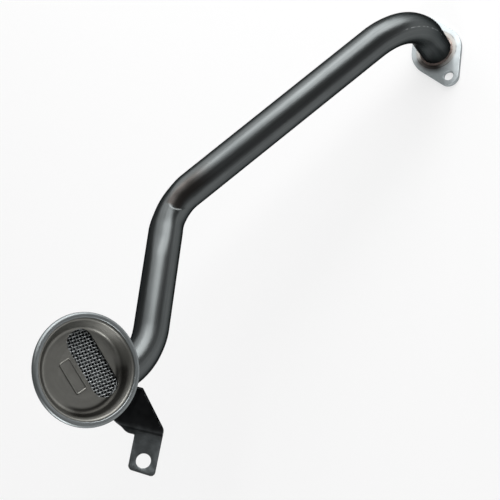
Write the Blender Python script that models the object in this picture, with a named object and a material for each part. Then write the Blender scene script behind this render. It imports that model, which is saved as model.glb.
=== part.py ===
"""Oil pickup tube of an engine's oil pump: a bent steel tube with a two-bolt flange and a screened inlet.

The part stands in the frame of its own mounting flange. The origin is the centre of the tube's bore on
the flange's mounting face, that face looks down along -Z, and the bolt holes lie on the X axis. The tube
is laid out as a tube bender would list it: a straight run, a turn of the bend's plane, then a bend. The
inlet's housing hangs on the tube's end, and the support bracket hangs on the housing.
"""

import math

import bmesh
import bpy
from mathutils import Matrix, Vector

MM = 0.001

# Clearance kept between pieces that are brazed, welded or seated on each other
SEAT_GAP = 0.3 * MM

# The tube
TUBE_DIAMETER = 22.2 * MM
TUBE_WALL = 1.6 * MM
BEND_RADIUS = 44.45 * MM
FIRST_RUN = 24.8 * MM
FIRST_TWIST = math.radians(-68.6)
FIRST_BEND = math.radians(75.5)
SECOND_RUN = 155.5 * MM
SECOND_TWIST = math.radians(85.5)
SECOND_BEND = math.radians(45.9)
THIRD_RUN = 65.1 * MM
THIRD_TWIST = math.radians(131.6)
THIRD_BEND = math.radians(62.0)
LAST_RUN = 17.0 * MM
# How much narrower a bend becomes in its own plane, and how much of that it bulges across it
BEND_FLATTENING = (0.07, 0.07, 0.04)
BULGE_SHARE = 0.4
TUBE_SIDES = 32
BEND_STEP = math.radians(6.0)
# How many of the centre line's last stations the housing, the collar and the bracket are cut by
ROD_STATIONS = 12

# The mounting flange
FLANGE_THICKNESS = 3.2 * MM
FLANGE_EDGE_RADIUS = 0.5 * MM
BOLT_SPACING = 47.0 * MM
BOLT_HOLE_DIAMETER = 7.0 * MM
FLANGE_EAR_RADIUS = 7.3 * MM
FLANGE_RIM = 7.2 * MM
FLANGE_BRAZE_WIDTH = 2.2 * MM
FLANGE_BRAZE_HEIGHT = 2.0 * MM

# The inlet housing, turned about its own axis, with the crest of its rolled rim at height zero
RIM_RADIUS = 32.9 * MM
RIM_LIP = 3.4 * MM
HOUSING_WALL = 1.0 * MM
HOUSING_SHOULDER = 2.6 * MM
HOUSING_HEIGHT = 40.2 * MM
HOUSING_TAPER = math.radians(21.0)
HOUSING_BOTTOM_ROUND = 9.0 * MM
ROUND_SEGMENTS = 48

# The dished cover with the inlet slot
COVER_THICKNESS = 1.0 * MM
COVER_SHOULDER = 4.5 * MM
COVER_SHOULDER_ROUND = 1.5 * MM
COVER_WALL_RUN = 4.1 * MM
COVER_DEPTH = 9.2 * MM
COVER_FLOOR_ROUND = 3.0 * MM
SLOT_LENGTH = 43.0 * MM
SLOT_WIDTH = 16.6 * MM
SLOT_CORNER = 7.4 * MM
SLOT_OFFSET = 8.1 * MM
SLOT_ANGLE = math.radians(109.0)

# The woven screen under the slot
SCREEN_DROP = 1.1 * MM
SCREEN_THICKNESS = 1.0 * MM
WIRE_PITCH = 2.6 * MM
WIRE_WIDTH = 0.9 * MM
WIRE_CREST = 0.4 * MM
WEAVE_ANGLE = math.radians(6.0)

# How the housing sits on the tube's end
TUBE_TO_SCREEN = 0.4 * MM
END_SHORT_OF_AXIS = 6.1 * MM
RIM_TO_TUBE_AXIS = 24.05 * MM
HOUSING_LEAN = math.radians(5.9)
HOUSING_ROLL = math.radians(-94.6)
HOUSING_BRAZE_WIDTH = 2.4 * MM
HOUSING_BRAZE_HEIGHT = 2.2 * MM

# The support bracket, a folded sheet; its web and tab are drawn flat, along and across the fold
BRACKET_THICKNESS = 2.5 * MM
BRACKET_FOLD = math.radians(32.0)
BRACKET_FOLD_RADIUS = 3.0 * MM
BRACKET_WIDTH = 16.4 * MM
BRACKET_SHIFT = 0.6 * MM
TAB_LENGTH = 24.3 * MM
TAB_SKEW = math.radians(3.6)
TAB_CORNER = 2.6 * MM
TAB_HOLE_DIAMETER = 9.0 * MM
TAB_HOLE_FROM_END = 7.2 * MM
WEB_LENGTH = 25.8 * MM
WEB_SHOULDER = 3.4 * MM
WEB_LEAN = 17.2 * MM
WEB_REACH = 40.0 * MM
LOBE_DEPTH = 3.2 * MM
LOBE_REACH = 12.4 * MM
LOBE_SLOPE = math.radians(32.3)
LOBE_ROUND = 7.0 * MM
# The fold's middle from the rim's centre, and the fold's and the web's directions, in the housing's frame
FOLD_PLACE = Vector((-35.1 * MM, 45.15 * MM, -15.6 * MM))
FOLD_DIRECTION = Vector((-0.729, 0.452, 0.514))
WEB_FACE = Vector((0.653, 0.233, 0.721))

TUBE_RADIUS = TUBE_DIAMETER / 2
BORE_RADIUS = TUBE_RADIUS - TUBE_WALL
HEM_GAP = SEAT_GAP
COVER_BOTTOM = COVER_DEPTH + COVER_THICKNESS
SCREEN_TOP = COVER_BOTTOM + SCREEN_DROP
SCREEN_BOTTOM = SCREEN_TOP + SCREEN_THICKNESS
END_DEPTH = SCREEN_BOTTOM + TUBE_TO_SCREEN + TUBE_RADIUS
NECK_RADIUS = RIM_RADIUS - HOUSING_SHOULDER
END_BESIDE_AXIS = RIM_RADIUS - RIM_TO_TUBE_AXIS
HEM_THICKNESS = 2 * HOUSING_WALL + COVER_THICKNESS + 2 * HEM_GAP
HOUSING_BOTTOM_RADIUS = NECK_RADIUS - (HOUSING_HEIGHT - HEM_THICKNESS) * math.tan(HOUSING_TAPER)
COVER_FLOOR_RADIUS = RIM_RADIUS - COVER_SHOULDER - COVER_WALL_RUN

# Colour, roughness and metallic value of each finish
DARK_STEEL = ((0.075, 0.082, 0.082), 0.33, 0.9)
BRIGHT_STEEL = ((0.62, 0.66, 0.67), 0.38, 0.9)
COPPER_BRAZE = ((0.55, 0.34, 0.25), 0.4, 0.9)
RIM_STEEL = ((0.20, 0.22, 0.225), 0.4, 0.9)
COVER_STEEL = ((0.16, 0.15, 0.135), 0.45, 0.8)
WIRE_STEEL = ((0.50, 0.53, 0.53), 0.35, 0.9)
BRACKET_STEEL = ((0.06, 0.07, 0.07), 0.5, 0.6)


def clear_scene():
    """Remove whatever the file opened with."""
    for old in list(bpy.data.objects):
        bpy.data.objects.remove(old, do_unlink=True)


def make_material(name, finish):
    """A metal finish from a colour, a roughness and a metallic value."""
    colour, roughness, metallic = finish
    material = bpy.data.materials.new(name)
    material.use_nodes = True
    shader = material.node_tree.nodes["Principled BSDF"]
    shader.inputs["Base Color"].default_value = (*colour, 1.0)
    shader.inputs["Roughness"].default_value = roughness
    shader.inputs["Metallic"].default_value = metallic
    return material


def make_object(name, mesh_builder, finish=None, place=None):
    """Turn a bmesh into an object with faces pointing out and round surfaces shaded smooth."""
    bmesh.ops.recalc_face_normals(mesh_builder, faces=mesh_builder.faces)
    mesh = bpy.data.meshes.new(name)
    mesh_builder.to_mesh(mesh)
    mesh_builder.free()
    mesh.shade_smooth()
    mesh.set_sharp_from_angle(angle=math.radians(32))
    piece = bpy.data.objects.new(name, mesh)
    bpy.context.scene.collection.objects.link(piece)
    if place is not None:
        piece.matrix_world = place
    if finish is None:
        piece.hide_render = True
        piece.display_type = 'WIRE'
    else:
        mesh.materials.append(make_material(name + "_finish", finish))
    return piece


def combine(piece, other, operation):
    """Cut a piece with, or keep what it shares with, another solid."""
    modifier = piece.modifiers.new(operation.lower() + "_" + other.name, 'BOOLEAN')
    modifier.operation = operation
    modifier.solver = 'EXACT'
    modifier.object = other


def skin(rings, closed=False, build=None):
    """A closed surface through rings of points; open ends are capped unless the rings join in a loop."""
    if build is None:
        build = bmesh.new()
    rows = [[build.verts.new(point) for point in ring] for ring in rings]
    pairs = list(zip(rows, rows[1:]))
    if closed:
        pairs.append((rows[-1], rows[0]))
    else:
        for row in (rows[0], rows[-1]):
            if len(row) > 2:
                build.faces.new(row)
    for row, following in pairs:
        count = max(len(row), len(following))
        for i in range(count):
            j = (i + 1) % count
            corners = []
            for vertex in (row[i % len(row)], row[j % len(row)],
                           following[j % len(following)], following[i % len(following)]):
                if vertex not in corners:
                    corners.append(vertex)
            if len(corners) > 2:
                build.faces.new(corners)
    return build


def revolve(section, segments=ROUND_SEGMENTS):
    """Turn a section of (radius, height) points about Z; it stays off the axis or starts and ends on it."""
    rings = []
    for radius, height in section:
        if radius < 1e-9:
            rings.append([Vector((0.0, 0.0, height))])
            continue
        angles = (2 * math.pi * i / segments for i in range(segments))
        rings.append([Vector((radius * math.cos(a), radius * math.sin(a), height)) for a in angles])
    return skin(rings, closed=section[0][0] > 1e-9)


def extrude_outline(outline, bottom, top):
    """A straight-sided solid from a flat outline of (x, y) points."""
    low = [Vector((x, y, bottom)) for x, y in outline]
    high = [Vector((x, y, top)) for x, y in outline]
    return skin([low, high])


def arc_points(centre, radius, start, end, count):
    """Points along an arc of a circle in the plane, both ends included."""
    points = []
    for i in range(count + 1):
        angle = start + (end - start) * i / count
        points.append((centre[0] + radius * math.cos(angle), centre[1] + radius * math.sin(angle)))
    return points


def round_corners(corners, steps=4, closed=True):
    """An outline from (x, y, radius) corners, each rounded by an arc tangent to its two sides."""
    outline = []
    count = len(corners)
    for i, (x, y, radius) in enumerate(corners):
        here = Vector((x, y))
        at_end = not closed and i in (0, count - 1)
        if radius <= 0 or at_end:
            outline.append((x, y))
            continue
        back = (Vector(corners[i - 1][:2]) - here).normalized()
        ahead = (Vector(corners[(i + 1) % count][:2]) - here).normalized()
        half = back.angle(ahead) / 2
        centre = here + (back + ahead).normalized() * (radius / math.sin(half))
        start = here + back * (radius / math.tan(half)) - centre
        end = here + ahead * (radius / math.tan(half)) - centre
        turn = math.atan2(start.x * end.y - start.y * end.x, start.dot(end))
        for k in range(steps + 1):
            angle = turn * k / steps
            x_turned = start.x * math.cos(angle) - start.y * math.sin(angle)
            y_turned = start.x * math.sin(angle) + start.y * math.cos(angle)
            outline.append((centre.x + x_turned, centre.y + y_turned))
    return outline


def tube_stations():
    """The tube's centre line: each station's place, heading, bend side and share of full flattening."""
    place = Vector((0.0, 0.0, 0.0))
    heading = Vector((0.0, 0.0, 1.0))
    side = Vector((1.0, 0.0, 0.0))
    stations = [(place.copy(), heading.copy(), side.copy(), 0.0)]
    legs = ((FIRST_RUN, FIRST_TWIST, FIRST_BEND), (SECOND_RUN, SECOND_TWIST, SECOND_BEND),
            (THIRD_RUN, THIRD_TWIST, THIRD_BEND))
    for (run, twist, bend), flattening in zip(legs, BEND_FLATTENING):
        place = place + heading * run
        turn = Matrix.Rotation(twist, 3, heading)
        side = turn @ side
        centre = place + side * BEND_RADIUS
        steps = max(2, round(bend / BEND_STEP))
        for i in range(steps + 1):
            angle = bend * i / steps
            ahead = heading * math.cos(angle) + side * math.sin(angle)
            inward = side * math.cos(angle) - heading * math.sin(angle)
            squeeze = flattening * max(0.0, math.sin(math.pi * i / steps)) ** 0.6
            stations.append((centre - inward * BEND_RADIUS, ahead, inward, squeeze))
        place, heading, side = stations[-1][:3]
    stations.append((place + heading * LAST_RUN, heading, side, 0.0))
    return stations


def tube_rings(radius, stations, sides=TUBE_SIDES):
    """Rings round the centre line; the frame is carried along without twisting."""
    rings = []
    across = Vector((1.0, 0.0, 0.0))
    for place, heading, side, squeeze in stations:
        across = (across - heading * across.dot(heading)).normalized()
        other = heading.cross(across)
        ring = []
        for i in range(sides):
            angle = 2 * math.pi * i / sides
            spoke = across * math.cos(angle) + other * math.sin(angle)
            in_plane = side * spoke.dot(side)
            out_of_plane = spoke - in_plane
            spoke = in_plane * (1 - squeeze) + out_of_plane * (1 + BULGE_SHARE * squeeze)
            ring.append(place + spoke * radius)
        rings.append(ring)
    return rings


def pickup_tube(stations):
    """The bent tube, open at both ends."""
    outside = tube_rings(TUBE_RADIUS, stations)
    inside = tube_rings(BORE_RADIUS, stations)
    return make_object("pickup_tube", skin(outside + inside[::-1], closed=True), DARK_STEEL)


def tube_rod(name, stations, grow):
    """A solid rod along the tube's last bend and end, larger than the tube by the given amount."""
    rings = tube_rings(TUBE_RADIUS + grow, stations)
    return make_object(name, skin(rings[-ROD_STATIONS:]))


def flange_outline(steps=12):
    """The two-bolt plate: a round belly with a rounded ear at each bolt and straight tangents between."""
    belly = TUBE_RADIUS + FLANGE_RIM
    reach = BOLT_SPACING / 2
    slope = math.asin((belly - FLANGE_EAR_RADIUS) / reach)
    tilt = math.pi / 2 - slope
    outline = arc_points((reach, 0.0), FLANGE_EAR_RADIUS, -tilt, tilt, steps)
    outline += arc_points((0.0, 0.0), belly, tilt, math.pi - tilt, steps // 2)
    outline += arc_points((-reach, 0.0), FLANGE_EAR_RADIUS, math.pi - tilt, math.pi + tilt, steps)
    outline += arc_points((0.0, 0.0), belly, math.pi + tilt, 2 * math.pi - tilt, steps // 2)
    return outline


def mounting_flange():
    """The flange plate with its eased edges, bolt holes and the bore that the tube passes through."""
    plate = make_object("mounting_flange", extrude_outline(flange_outline(), 0.0, FLANGE_THICKNESS),
                        BRIGHT_STEEL)
    ease = plate.modifiers.new("eased_edges", 'BEVEL')
    ease.width = FLANGE_EDGE_RADIUS
    ease.segments = 2
    ease.limit_method = 'ANGLE'
    ease.angle_limit = math.radians(60)
    holes = [("flange_bore_cutter", 0.0, TUBE_RADIUS + SEAT_GAP)]
    holes.append(("bolt_cutter_right", BOLT_SPACING / 2, BOLT_HOLE_DIAMETER / 2))
    holes.append(("bolt_cutter_left", -BOLT_SPACING / 2, BOLT_HOLE_DIAMETER / 2))
    for name, x, radius in holes:
        sides = TUBE_SIDES if x == 0.0 else 24
        circle = arc_points((x, 0.0), radius, 0.0, 2 * math.pi, sides)[:-1]
        cutter = make_object(name, extrude_outline(circle, -FLANGE_THICKNESS, 2 * FLANGE_THICKNESS))
        combine(plate, cutter, 'DIFFERENCE')
    return plate


def flange_braze():
    """The fillet of braze round the tube on top of the flange, with a hollow face."""
    inner = TUBE_RADIUS + SEAT_GAP
    outer = inner + FLANGE_BRAZE_WIDTH
    bottom = FLANGE_THICKNESS + SEAT_GAP
    top = bottom + FLANGE_BRAZE_HEIGHT
    section = [(inner, bottom), (outer, bottom)]
    for i in range(1, 5):
        angle = math.pi / 2 * i / 5
        radius = outer - FLANGE_BRAZE_WIDTH * math.sin(angle)
        section.append((radius, top - FLANGE_BRAZE_HEIGHT * math.cos(angle)))
    section.append((inner, top))
    return make_object("flange_braze", revolve(section), COPPER_BRAZE)


def bell_curve(offset):
    """The bell's curve from its shoulder to its crown, moved out from the outer face by the given offset."""
    corners = [(NECK_RADIUS, -HEM_THICKNESS, 0.0)]
    corners.append((HOUSING_BOTTOM_RADIUS, -HOUSING_HEIGHT, HOUSING_BOTTOM_ROUND))
    corners.append((0.0, -HOUSING_HEIGHT, 0.0))
    return offset_curve(round_corners(corners, steps=6, closed=False), offset)


def housing_section():
    """The drawn bell with its edge rolled over the cover, as one section of sheet."""
    inner = bell_curve(-HOUSING_WALL)
    roll = HEM_THICKNESS / 2
    roll_centre = (RIM_RADIUS - roll, -roll)
    lip_end = RIM_RADIUS - RIM_LIP
    inner_roll = roll - HOUSING_WALL
    section = bell_curve(0.0)[::-1]
    section += arc_points(roll_centre, roll, -math.pi / 2, math.pi / 2, 8)
    section += [(lip_end + 0.4 * HOUSING_WALL, 0.0), (lip_end, -0.4 * HOUSING_WALL), (lip_end, -HOUSING_WALL)]
    section += arc_points(roll_centre, inner_roll, math.pi / 2, -math.pi / 2, 4)
    section += [(inner[0][0], -HEM_THICKNESS + HOUSING_WALL)]
    section += inner
    return section


def housing_envelope(name, grow):
    """The housing's outside as a plain solid, grown by the given amount, for cutting what seats on it."""
    section = bell_curve(grow)[::-1]
    section[-1] = (NECK_RADIUS + grow, -HEM_THICKNESS - grow)
    section += [(RIM_RADIUS + grow, -HEM_THICKNESS - grow), (RIM_RADIUS + grow, grow), (0.0, grow)]
    return make_object(name, revolve(section), place=HOUSING_PLACE)


def screen_housing():
    """The inlet's drawn steel bell, with the hole where the tube enters its flank."""
    return make_object("screen_housing", revolve(housing_section()), RIM_STEEL, HOUSING_PLACE)


def cover_curve():
    """The cover's upper face from its edge in the rim to the middle of the dish."""
    top = -HOUSING_WALL - HEM_GAP
    corners = [(RIM_RADIUS - HOUSING_WALL - HEM_GAP, top, 0.0)]
    corners.append((RIM_RADIUS - COVER_SHOULDER, top, COVER_SHOULDER_ROUND))
    corners.append((COVER_FLOOR_RADIUS, -COVER_DEPTH, COVER_FLOOR_ROUND))
    corners.append((0.0, -COVER_DEPTH, 0.0))
    return round_corners(corners, closed=False)


def offset_curve(curve, distance):
    """The curve from the outside to the axis, moved away from the inlet's mouth and mitred at each point."""
    points = [Vector(point) for point in curve]
    moved = []
    for i, point in enumerate(points):
        before = (point - points[i - 1]).normalized() if i else (points[1] - point).normalized()
        after = (points[i + 1] - point).normalized() if i < len(points) - 1 else before
        bisector = Vector((-before.y - after.y, before.x + after.x)).normalized()
        lengthening = max(0.5, bisector.dot(Vector((-before.y, before.x))))
        step = point + bisector * (distance / lengthening)
        moved.append((step.x if i < len(points) - 1 else 0.0, step.y))
    return moved


def slot_outline():
    """The inlet slot: a long hole with rounded ends, beside the dish's centre."""
    half_length, half_width = SLOT_LENGTH / 2, SLOT_WIDTH / 2
    corner = min(SLOT_CORNER, half_width * 0.98)
    corners = [(sx * half_length, SLOT_OFFSET + sy * half_width, corner)
               for sx, sy in ((-1, -1), (1, -1), (1, 1), (-1, 1))]
    turn = Matrix.Rotation(SLOT_ANGLE, 2)
    return [tuple(turn @ Vector(point)) for point in round_corners(corners, steps=6)]


def inlet_cover():
    """The dished cover plate, its edge held in the rolled rim, with the inlet slot."""
    curve = cover_curve()
    section = offset_curve(curve, COVER_THICKNESS)[::-1] + curve
    cover = make_object("inlet_cover", revolve(section), COVER_STEEL, HOUSING_PLACE)
    cutter = make_object("slot_cutter", extrude_outline(slot_outline(), -2 * COVER_BOTTOM, 0.0),
                         place=HOUSING_PLACE)
    combine(cover, cutter, 'DIFFERENCE')
    return cover


def screen_radius():
    """The screen's edge, seated on the inside of the bell at the screen's depth."""
    inner = bell_curve(-HOUSING_WALL)
    for (outer_radius, above), (inner_radius, below) in zip(inner, inner[1:]):
        if below <= -SCREEN_BOTTOM <= above:
            share = (above + SCREEN_BOTTOM) / (above - below)
            return outer_radius + (inner_radius - outer_radius) * share - SEAT_GAP
    raise ValueError("the screen lies outside the bell")


def gap_peg(centre):
    """A cutter for one gap of the weave, flared to both faces so that ridges stand between the gaps."""
    waist = (WIRE_PITCH - WIRE_WIDTH) / 2
    mouth = (WIRE_PITCH - WIRE_CREST) / 2
    middle = -(SCREEN_TOP + SCREEN_BOTTOM) / 2
    turn = Matrix.Rotation(WEAVE_ANGLE, 2)
    rings = []
    for half, lift in ((mouth, SCREEN_THICKNESS), (mouth, SCREEN_THICKNESS / 2), (waist, 0.0),
                       (mouth, -SCREEN_THICKNESS / 2), (mouth, -SCREEN_THICKNESS)):
        square = ((half, half), (-half, half), (-half, -half), (half, -half))
        ring = [centre + turn @ Vector(corner) for corner in square]
        rings.append([Vector((x, y, middle + lift)) for x, y in ring])
    return rings


def screen_mesh():
    """The woven wire screen, as a disc of ridges and square gaps where the slot shows it."""
    radius = screen_radius()
    circle = arc_points((0.0, 0.0), radius, 0.0, 2 * math.pi, ROUND_SEGMENTS)[:-1]
    disc = make_object("screen_mesh", extrude_outline(circle, -SCREEN_BOTTOM, -SCREEN_TOP), WIRE_STEEL,
                       HOUSING_PLACE)
    half = (WIRE_PITCH - WIRE_WIDTH) / 2
    reach = math.ceil(radius / WIRE_PITCH)
    turn = Matrix.Rotation(WEAVE_ANGLE, 2)
    back = Matrix.Rotation(-SLOT_ANGLE, 2)
    pegs = bmesh.new()
    for column in range(-reach, reach + 1):
        for row in range(-reach, reach + 1):
            centre = turn @ Vector((column * WIRE_PITCH, row * WIRE_PITCH))
            in_slot = back @ centre
            if abs(in_slot.x) > SLOT_LENGTH / 2 - half:
                continue
            if abs(in_slot.y - SLOT_OFFSET) > SLOT_WIDTH / 2 - half:
                continue
            if centre.length + WIRE_PITCH > radius:
                continue
            skin(gap_peg(centre), build=pegs)
    combine(disc, make_object("screen_gap_cutter", pegs, place=HOUSING_PLACE), 'DIFFERENCE')
    return disc


def bracket_outline():
    """The bracket drawn flat: x along the fold, y up the web and down the tab."""
    half = BRACKET_WIDTH / 2
    skew = math.tan(TAB_SKEW)
    right, left = BRACKET_SHIFT + half, BRACKET_SHIFT - half
    reach = WEB_REACH - LOBE_REACH
    corners = [(left + TAB_LENGTH * skew, -TAB_LENGTH + half * skew, TAB_CORNER)]
    corners.append((right + TAB_LENGTH * skew, -TAB_LENGTH - half * skew, TAB_CORNER))
    corners.append((right, WEB_SHOULDER, 2 * TAB_CORNER))
    corners.append((right - WEB_LEAN, WEB_LENGTH, 0.4 * TAB_CORNER))
    corners.append((-WEB_REACH, WEB_LENGTH, 0.0))
    corners.append((-WEB_REACH, -LOBE_DEPTH + reach * math.tan(LOBE_SLOPE), 0.0))
    corners.append((-LOBE_REACH, -LOBE_DEPTH, LOBE_ROUND))
    corners.append((left + LOBE_DEPTH * skew, -LOBE_DEPTH, 0.4 * TAB_CORNER))
    return round_corners(corners)


def fold(point, height):
    """Carry a flat point to the folded sheet, at the given height above its middle layer."""
    x, y = point
    radius = BRACKET_FOLD_RADIUS + BRACKET_THICKNESS / 2
    half_zone = radius * BRACKET_FOLD / 2
    if y >= half_zone:
        return Vector((x, y, height))
    turned = min(half_zone - y, 2 * half_zone) / radius
    straight = max(0.0, -y - half_zone)
    reach = radius - height
    along_y = half_zone - reach * math.sin(turned) - straight * math.cos(turned)
    above_web = radius - reach * math.cos(turned) + straight * math.sin(turned)
    return Vector((x, along_y, above_web))


def bracket_place():
    """The folded sheet's frame: x along the fold, y up the web, z out of the web's face."""
    along = FOLD_DIRECTION.normalized()
    face = (WEB_FACE - along * WEB_FACE.dot(along)).normalized()
    up = face.cross(along)
    frame = Matrix((along, up, face)).transposed().to_4x4()
    half = BRACKET_THICKNESS / 2
    behind_face = Matrix.Translation((0.0, -half * math.tan(BRACKET_FOLD / 2), -half))
    return HOUSING_PLACE @ Matrix.Translation(FOLD_PLACE) @ frame @ behind_face


def tab_hole_centre():
    """The tab's stud hole on the flat drawing, on the tab's centre line."""
    down = TAB_LENGTH - TAB_HOLE_FROM_END
    return (BRACKET_SHIFT + down * math.tan(TAB_SKEW), -down)


def folded_sheet(outline, hole):
    """A sheet of even thickness from a flat outline with a hole, folded across the fold line."""
    flat = bmesh.new()
    for loop in (outline, hole):
        verts = [flat.verts.new((x, y, 0.0)) for x, y in loop]
        for first, second in zip(verts, verts[1:] + verts[:1]):
            flat.edges.new((first, second))
    bmesh.ops.triangle_fill(flat, use_beauty=True, edges=flat.edges)
    zone = (BRACKET_FOLD_RADIUS + BRACKET_THICKNESS / 2) * BRACKET_FOLD / 2
    for share in (-1.0, -0.6, -0.2, 0.2, 0.6, 1.0):
        parts = list(flat.verts) + list(flat.edges) + list(flat.faces)
        bmesh.ops.bisect_plane(flat, geom=parts, plane_co=(0.0, share * zone, 0.0), plane_no=(0.0, 1.0, 0.0),
                               dist=1e-7)
    sheet = bmesh.new()
    half = BRACKET_THICKNESS / 2
    upper = {v: sheet.verts.new(fold(v.co.xy, half)) for v in flat.verts}
    lower = {v: sheet.verts.new(fold(v.co.xy, -half)) for v in flat.verts}
    for face in flat.faces:
        sheet.faces.new([upper[v] for v in face.verts])
        sheet.faces.new([lower[v] for v in reversed(face.verts)])
    for edge in flat.edges:
        if len(edge.link_faces) == 1:
            first, second = edge.verts
            sheet.faces.new((upper[first], upper[second], lower[second], lower[first]))
    flat.free()
    return sheet


def support_bracket():
    """The folded strap: a tab with a stud hole and a web that is scribed to the housing and the tube."""
    hole = arc_points(tab_hole_centre(), TAB_HOLE_DIAMETER / 2, 0.0, 2 * math.pi, 32)[:-1]
    return make_object("support_bracket", folded_sheet(bracket_outline(), hole), BRACKET_STEEL, bracket_place())


def housing_frame(stations):
    """The housing's frame on the tube's end: z out of the inlet, x onward along the tube."""
    end, heading, side, _ = stations[-1]
    third = heading.cross(side)
    face = heading * math.sin(HOUSING_LEAN) + (side * math.cos(HOUSING_ROLL) + third * math.sin(HOUSING_ROLL)) \
        * math.cos(HOUSING_LEAN)
    onward = (heading - face * heading.dot(face)).normalized()
    beside = face.cross(onward)
    centre = end + face * END_DEPTH + onward * END_SHORT_OF_AXIS - beside * END_BESIDE_AXIS
    return Matrix.Translation(centre) @ Matrix((onward, beside, face)).transposed().to_4x4()


def housing_braze(stations):
    """The collar of braze where the tube enters the bell."""
    rings = tube_rings(TUBE_RADIUS + HOUSING_BRAZE_WIDTH, stations)
    collar = make_object("housing_braze", skin(rings[-ROD_STATIONS:]), COPPER_BRAZE)
    combine(collar, housing_envelope("braze_reach", HOUSING_BRAZE_HEIGHT), 'INTERSECT')
    return collar


STATIONS = tube_stations()
HOUSING_PLACE = housing_frame(STATIONS)


def build():
    """Build every piece, then cut each by what it seats on."""
    clear_scene()
    pickup_tube(STATIONS)
    mounting_flange()
    flange_braze()
    housing = screen_housing()
    inlet_cover()
    screen_mesh()
    bracket = support_bracket()
    collar = housing_braze(STATIONS)
    tube_room = tube_rod("tube_clearance", STATIONS, SEAT_GAP)
    housing_room = housing_envelope("housing_clearance", SEAT_GAP)
    collar_room = tube_rod("collar_clearance", STATIONS, HOUSING_BRAZE_WIDTH + SEAT_GAP)
    collar_reach = housing_envelope("collar_reach", HOUSING_BRAZE_HEIGHT + SEAT_GAP)
    combine(collar_room, collar_reach, 'INTERSECT')
    combine(housing, tube_room, 'DIFFERENCE')
    for piece in (collar, bracket):
        combine(piece, housing_room, 'DIFFERENCE')
        combine(piece, tube_room, 'DIFFERENCE')
    combine(bracket, collar_room, 'DIFFERENCE')


if __name__ == "__main__":
    build()
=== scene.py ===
"""An engine's oil pickup tube, dressed for a studio picture: bent tube, pump flange and screened inlet.

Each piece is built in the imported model's own frame, in metres, over the solid that it stands for. The
origin is the centre of the tube's mouth on the flange's mounting face, and Z runs up the tube's first run.
"""

import logging
import math
from collections.abc import Callable, Sequence
from dataclasses import dataclass, field
from enum import Enum

import bmesh
import bpy
from mathutils import Matrix, Vector, noise


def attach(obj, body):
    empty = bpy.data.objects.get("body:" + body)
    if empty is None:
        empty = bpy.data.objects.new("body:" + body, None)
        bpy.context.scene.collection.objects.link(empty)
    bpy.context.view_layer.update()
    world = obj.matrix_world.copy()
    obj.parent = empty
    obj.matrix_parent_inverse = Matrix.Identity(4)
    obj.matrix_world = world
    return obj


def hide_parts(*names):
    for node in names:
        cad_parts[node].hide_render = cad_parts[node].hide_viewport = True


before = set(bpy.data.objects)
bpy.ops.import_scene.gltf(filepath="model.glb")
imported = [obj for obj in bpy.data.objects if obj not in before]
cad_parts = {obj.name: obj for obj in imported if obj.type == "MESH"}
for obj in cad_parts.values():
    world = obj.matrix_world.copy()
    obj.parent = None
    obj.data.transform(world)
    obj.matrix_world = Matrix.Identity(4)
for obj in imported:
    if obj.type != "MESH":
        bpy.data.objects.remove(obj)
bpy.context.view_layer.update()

logging.basicConfig(level=logging.INFO, format="%(name)s: %(message)s")
LOG = logging.getLogger("oil_pickup_tube")

MM = 0.001
# The side of the object that carries the bend die's marks, as the picture's camera sees it
MARKED_SIDE = Vector((0.4409, 0.2880, 0.8501))
# How far a cut stays clear of its neighbour, or a bead of run metal reaches into it
CLEARANCE = 0.1 * MM
# Less than any real distance
TINY = 1e-7
# The least cosine at a mitred corner, so that it reaches no further than twice the offset
LEAST_COSINE = 0.5
# The share of a drawn line's width that has its full colour
STROKE_CORE = 0.3
# How many strips an eased edge has
EDGE_STRIPS = 3
# The size of the lumps in run metal, and how strongly each pass smooths it
RUN_LUMPS = 2.4 * MM
SMOOTHING = 0.6

Flat = tuple[float, float]
Triple = tuple[float, float, float]
Colour = Triple
Ring = list[Vector]


class Operation(Enum):
    """What a Boolean does with the second solid."""

    REMOVE = 'DIFFERENCE'
    KEEP_SHARED = 'INTERSECT'
    ADD = 'UNION'


class Coordinates(Enum):
    """Which coordinates a finish's texture follows."""

    SURFACE = "UV"
    SPACE = "Object"


def smooth_step(low: float, high: float, value: float) -> float:
    """An eased climb from 0 at low to 1 at high."""
    share = min(1.0, max(0.0, (value - low) / (high - low)))
    return share * share * (3 - 2 * share)


def arc_points(centre: Flat, radius: float, start: float, end: float, count: int) -> list[Flat]:
    """Points along an arc in the plane, both ends included."""
    angles = (start + (end - start) * i / count for i in range(count + 1))
    return [(centre[0] + radius * math.cos(a), centre[1] + radius * math.sin(a)) for a in angles]


def put_in_scene(name: str, data: bpy.types.ID) -> bpy.types.Object:
    """Make an object of a mesh, a lamp or a camera and put it in the scene."""
    made = bpy.data.objects.new(name, data)
    bpy.context.scene.collection.objects.link(made)
    return made


def axes_matrix(*axes: Vector) -> Matrix:
    """The rotation whose columns are the three axes."""
    return Matrix(axes).transposed().to_4x4()


def rectangle(half_length: float, half_width: float, offset: float = 0.0,
              radius: float = 0.0) -> list[Triple]:
    """A rectangle's corners as (x, y, radius), its middle moved along Y by the offset."""
    return [(sx * half_length, offset + sy * half_width, radius)
            for sx, sy in ((-1, -1), (1, -1), (1, 1), (-1, 1))]


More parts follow.
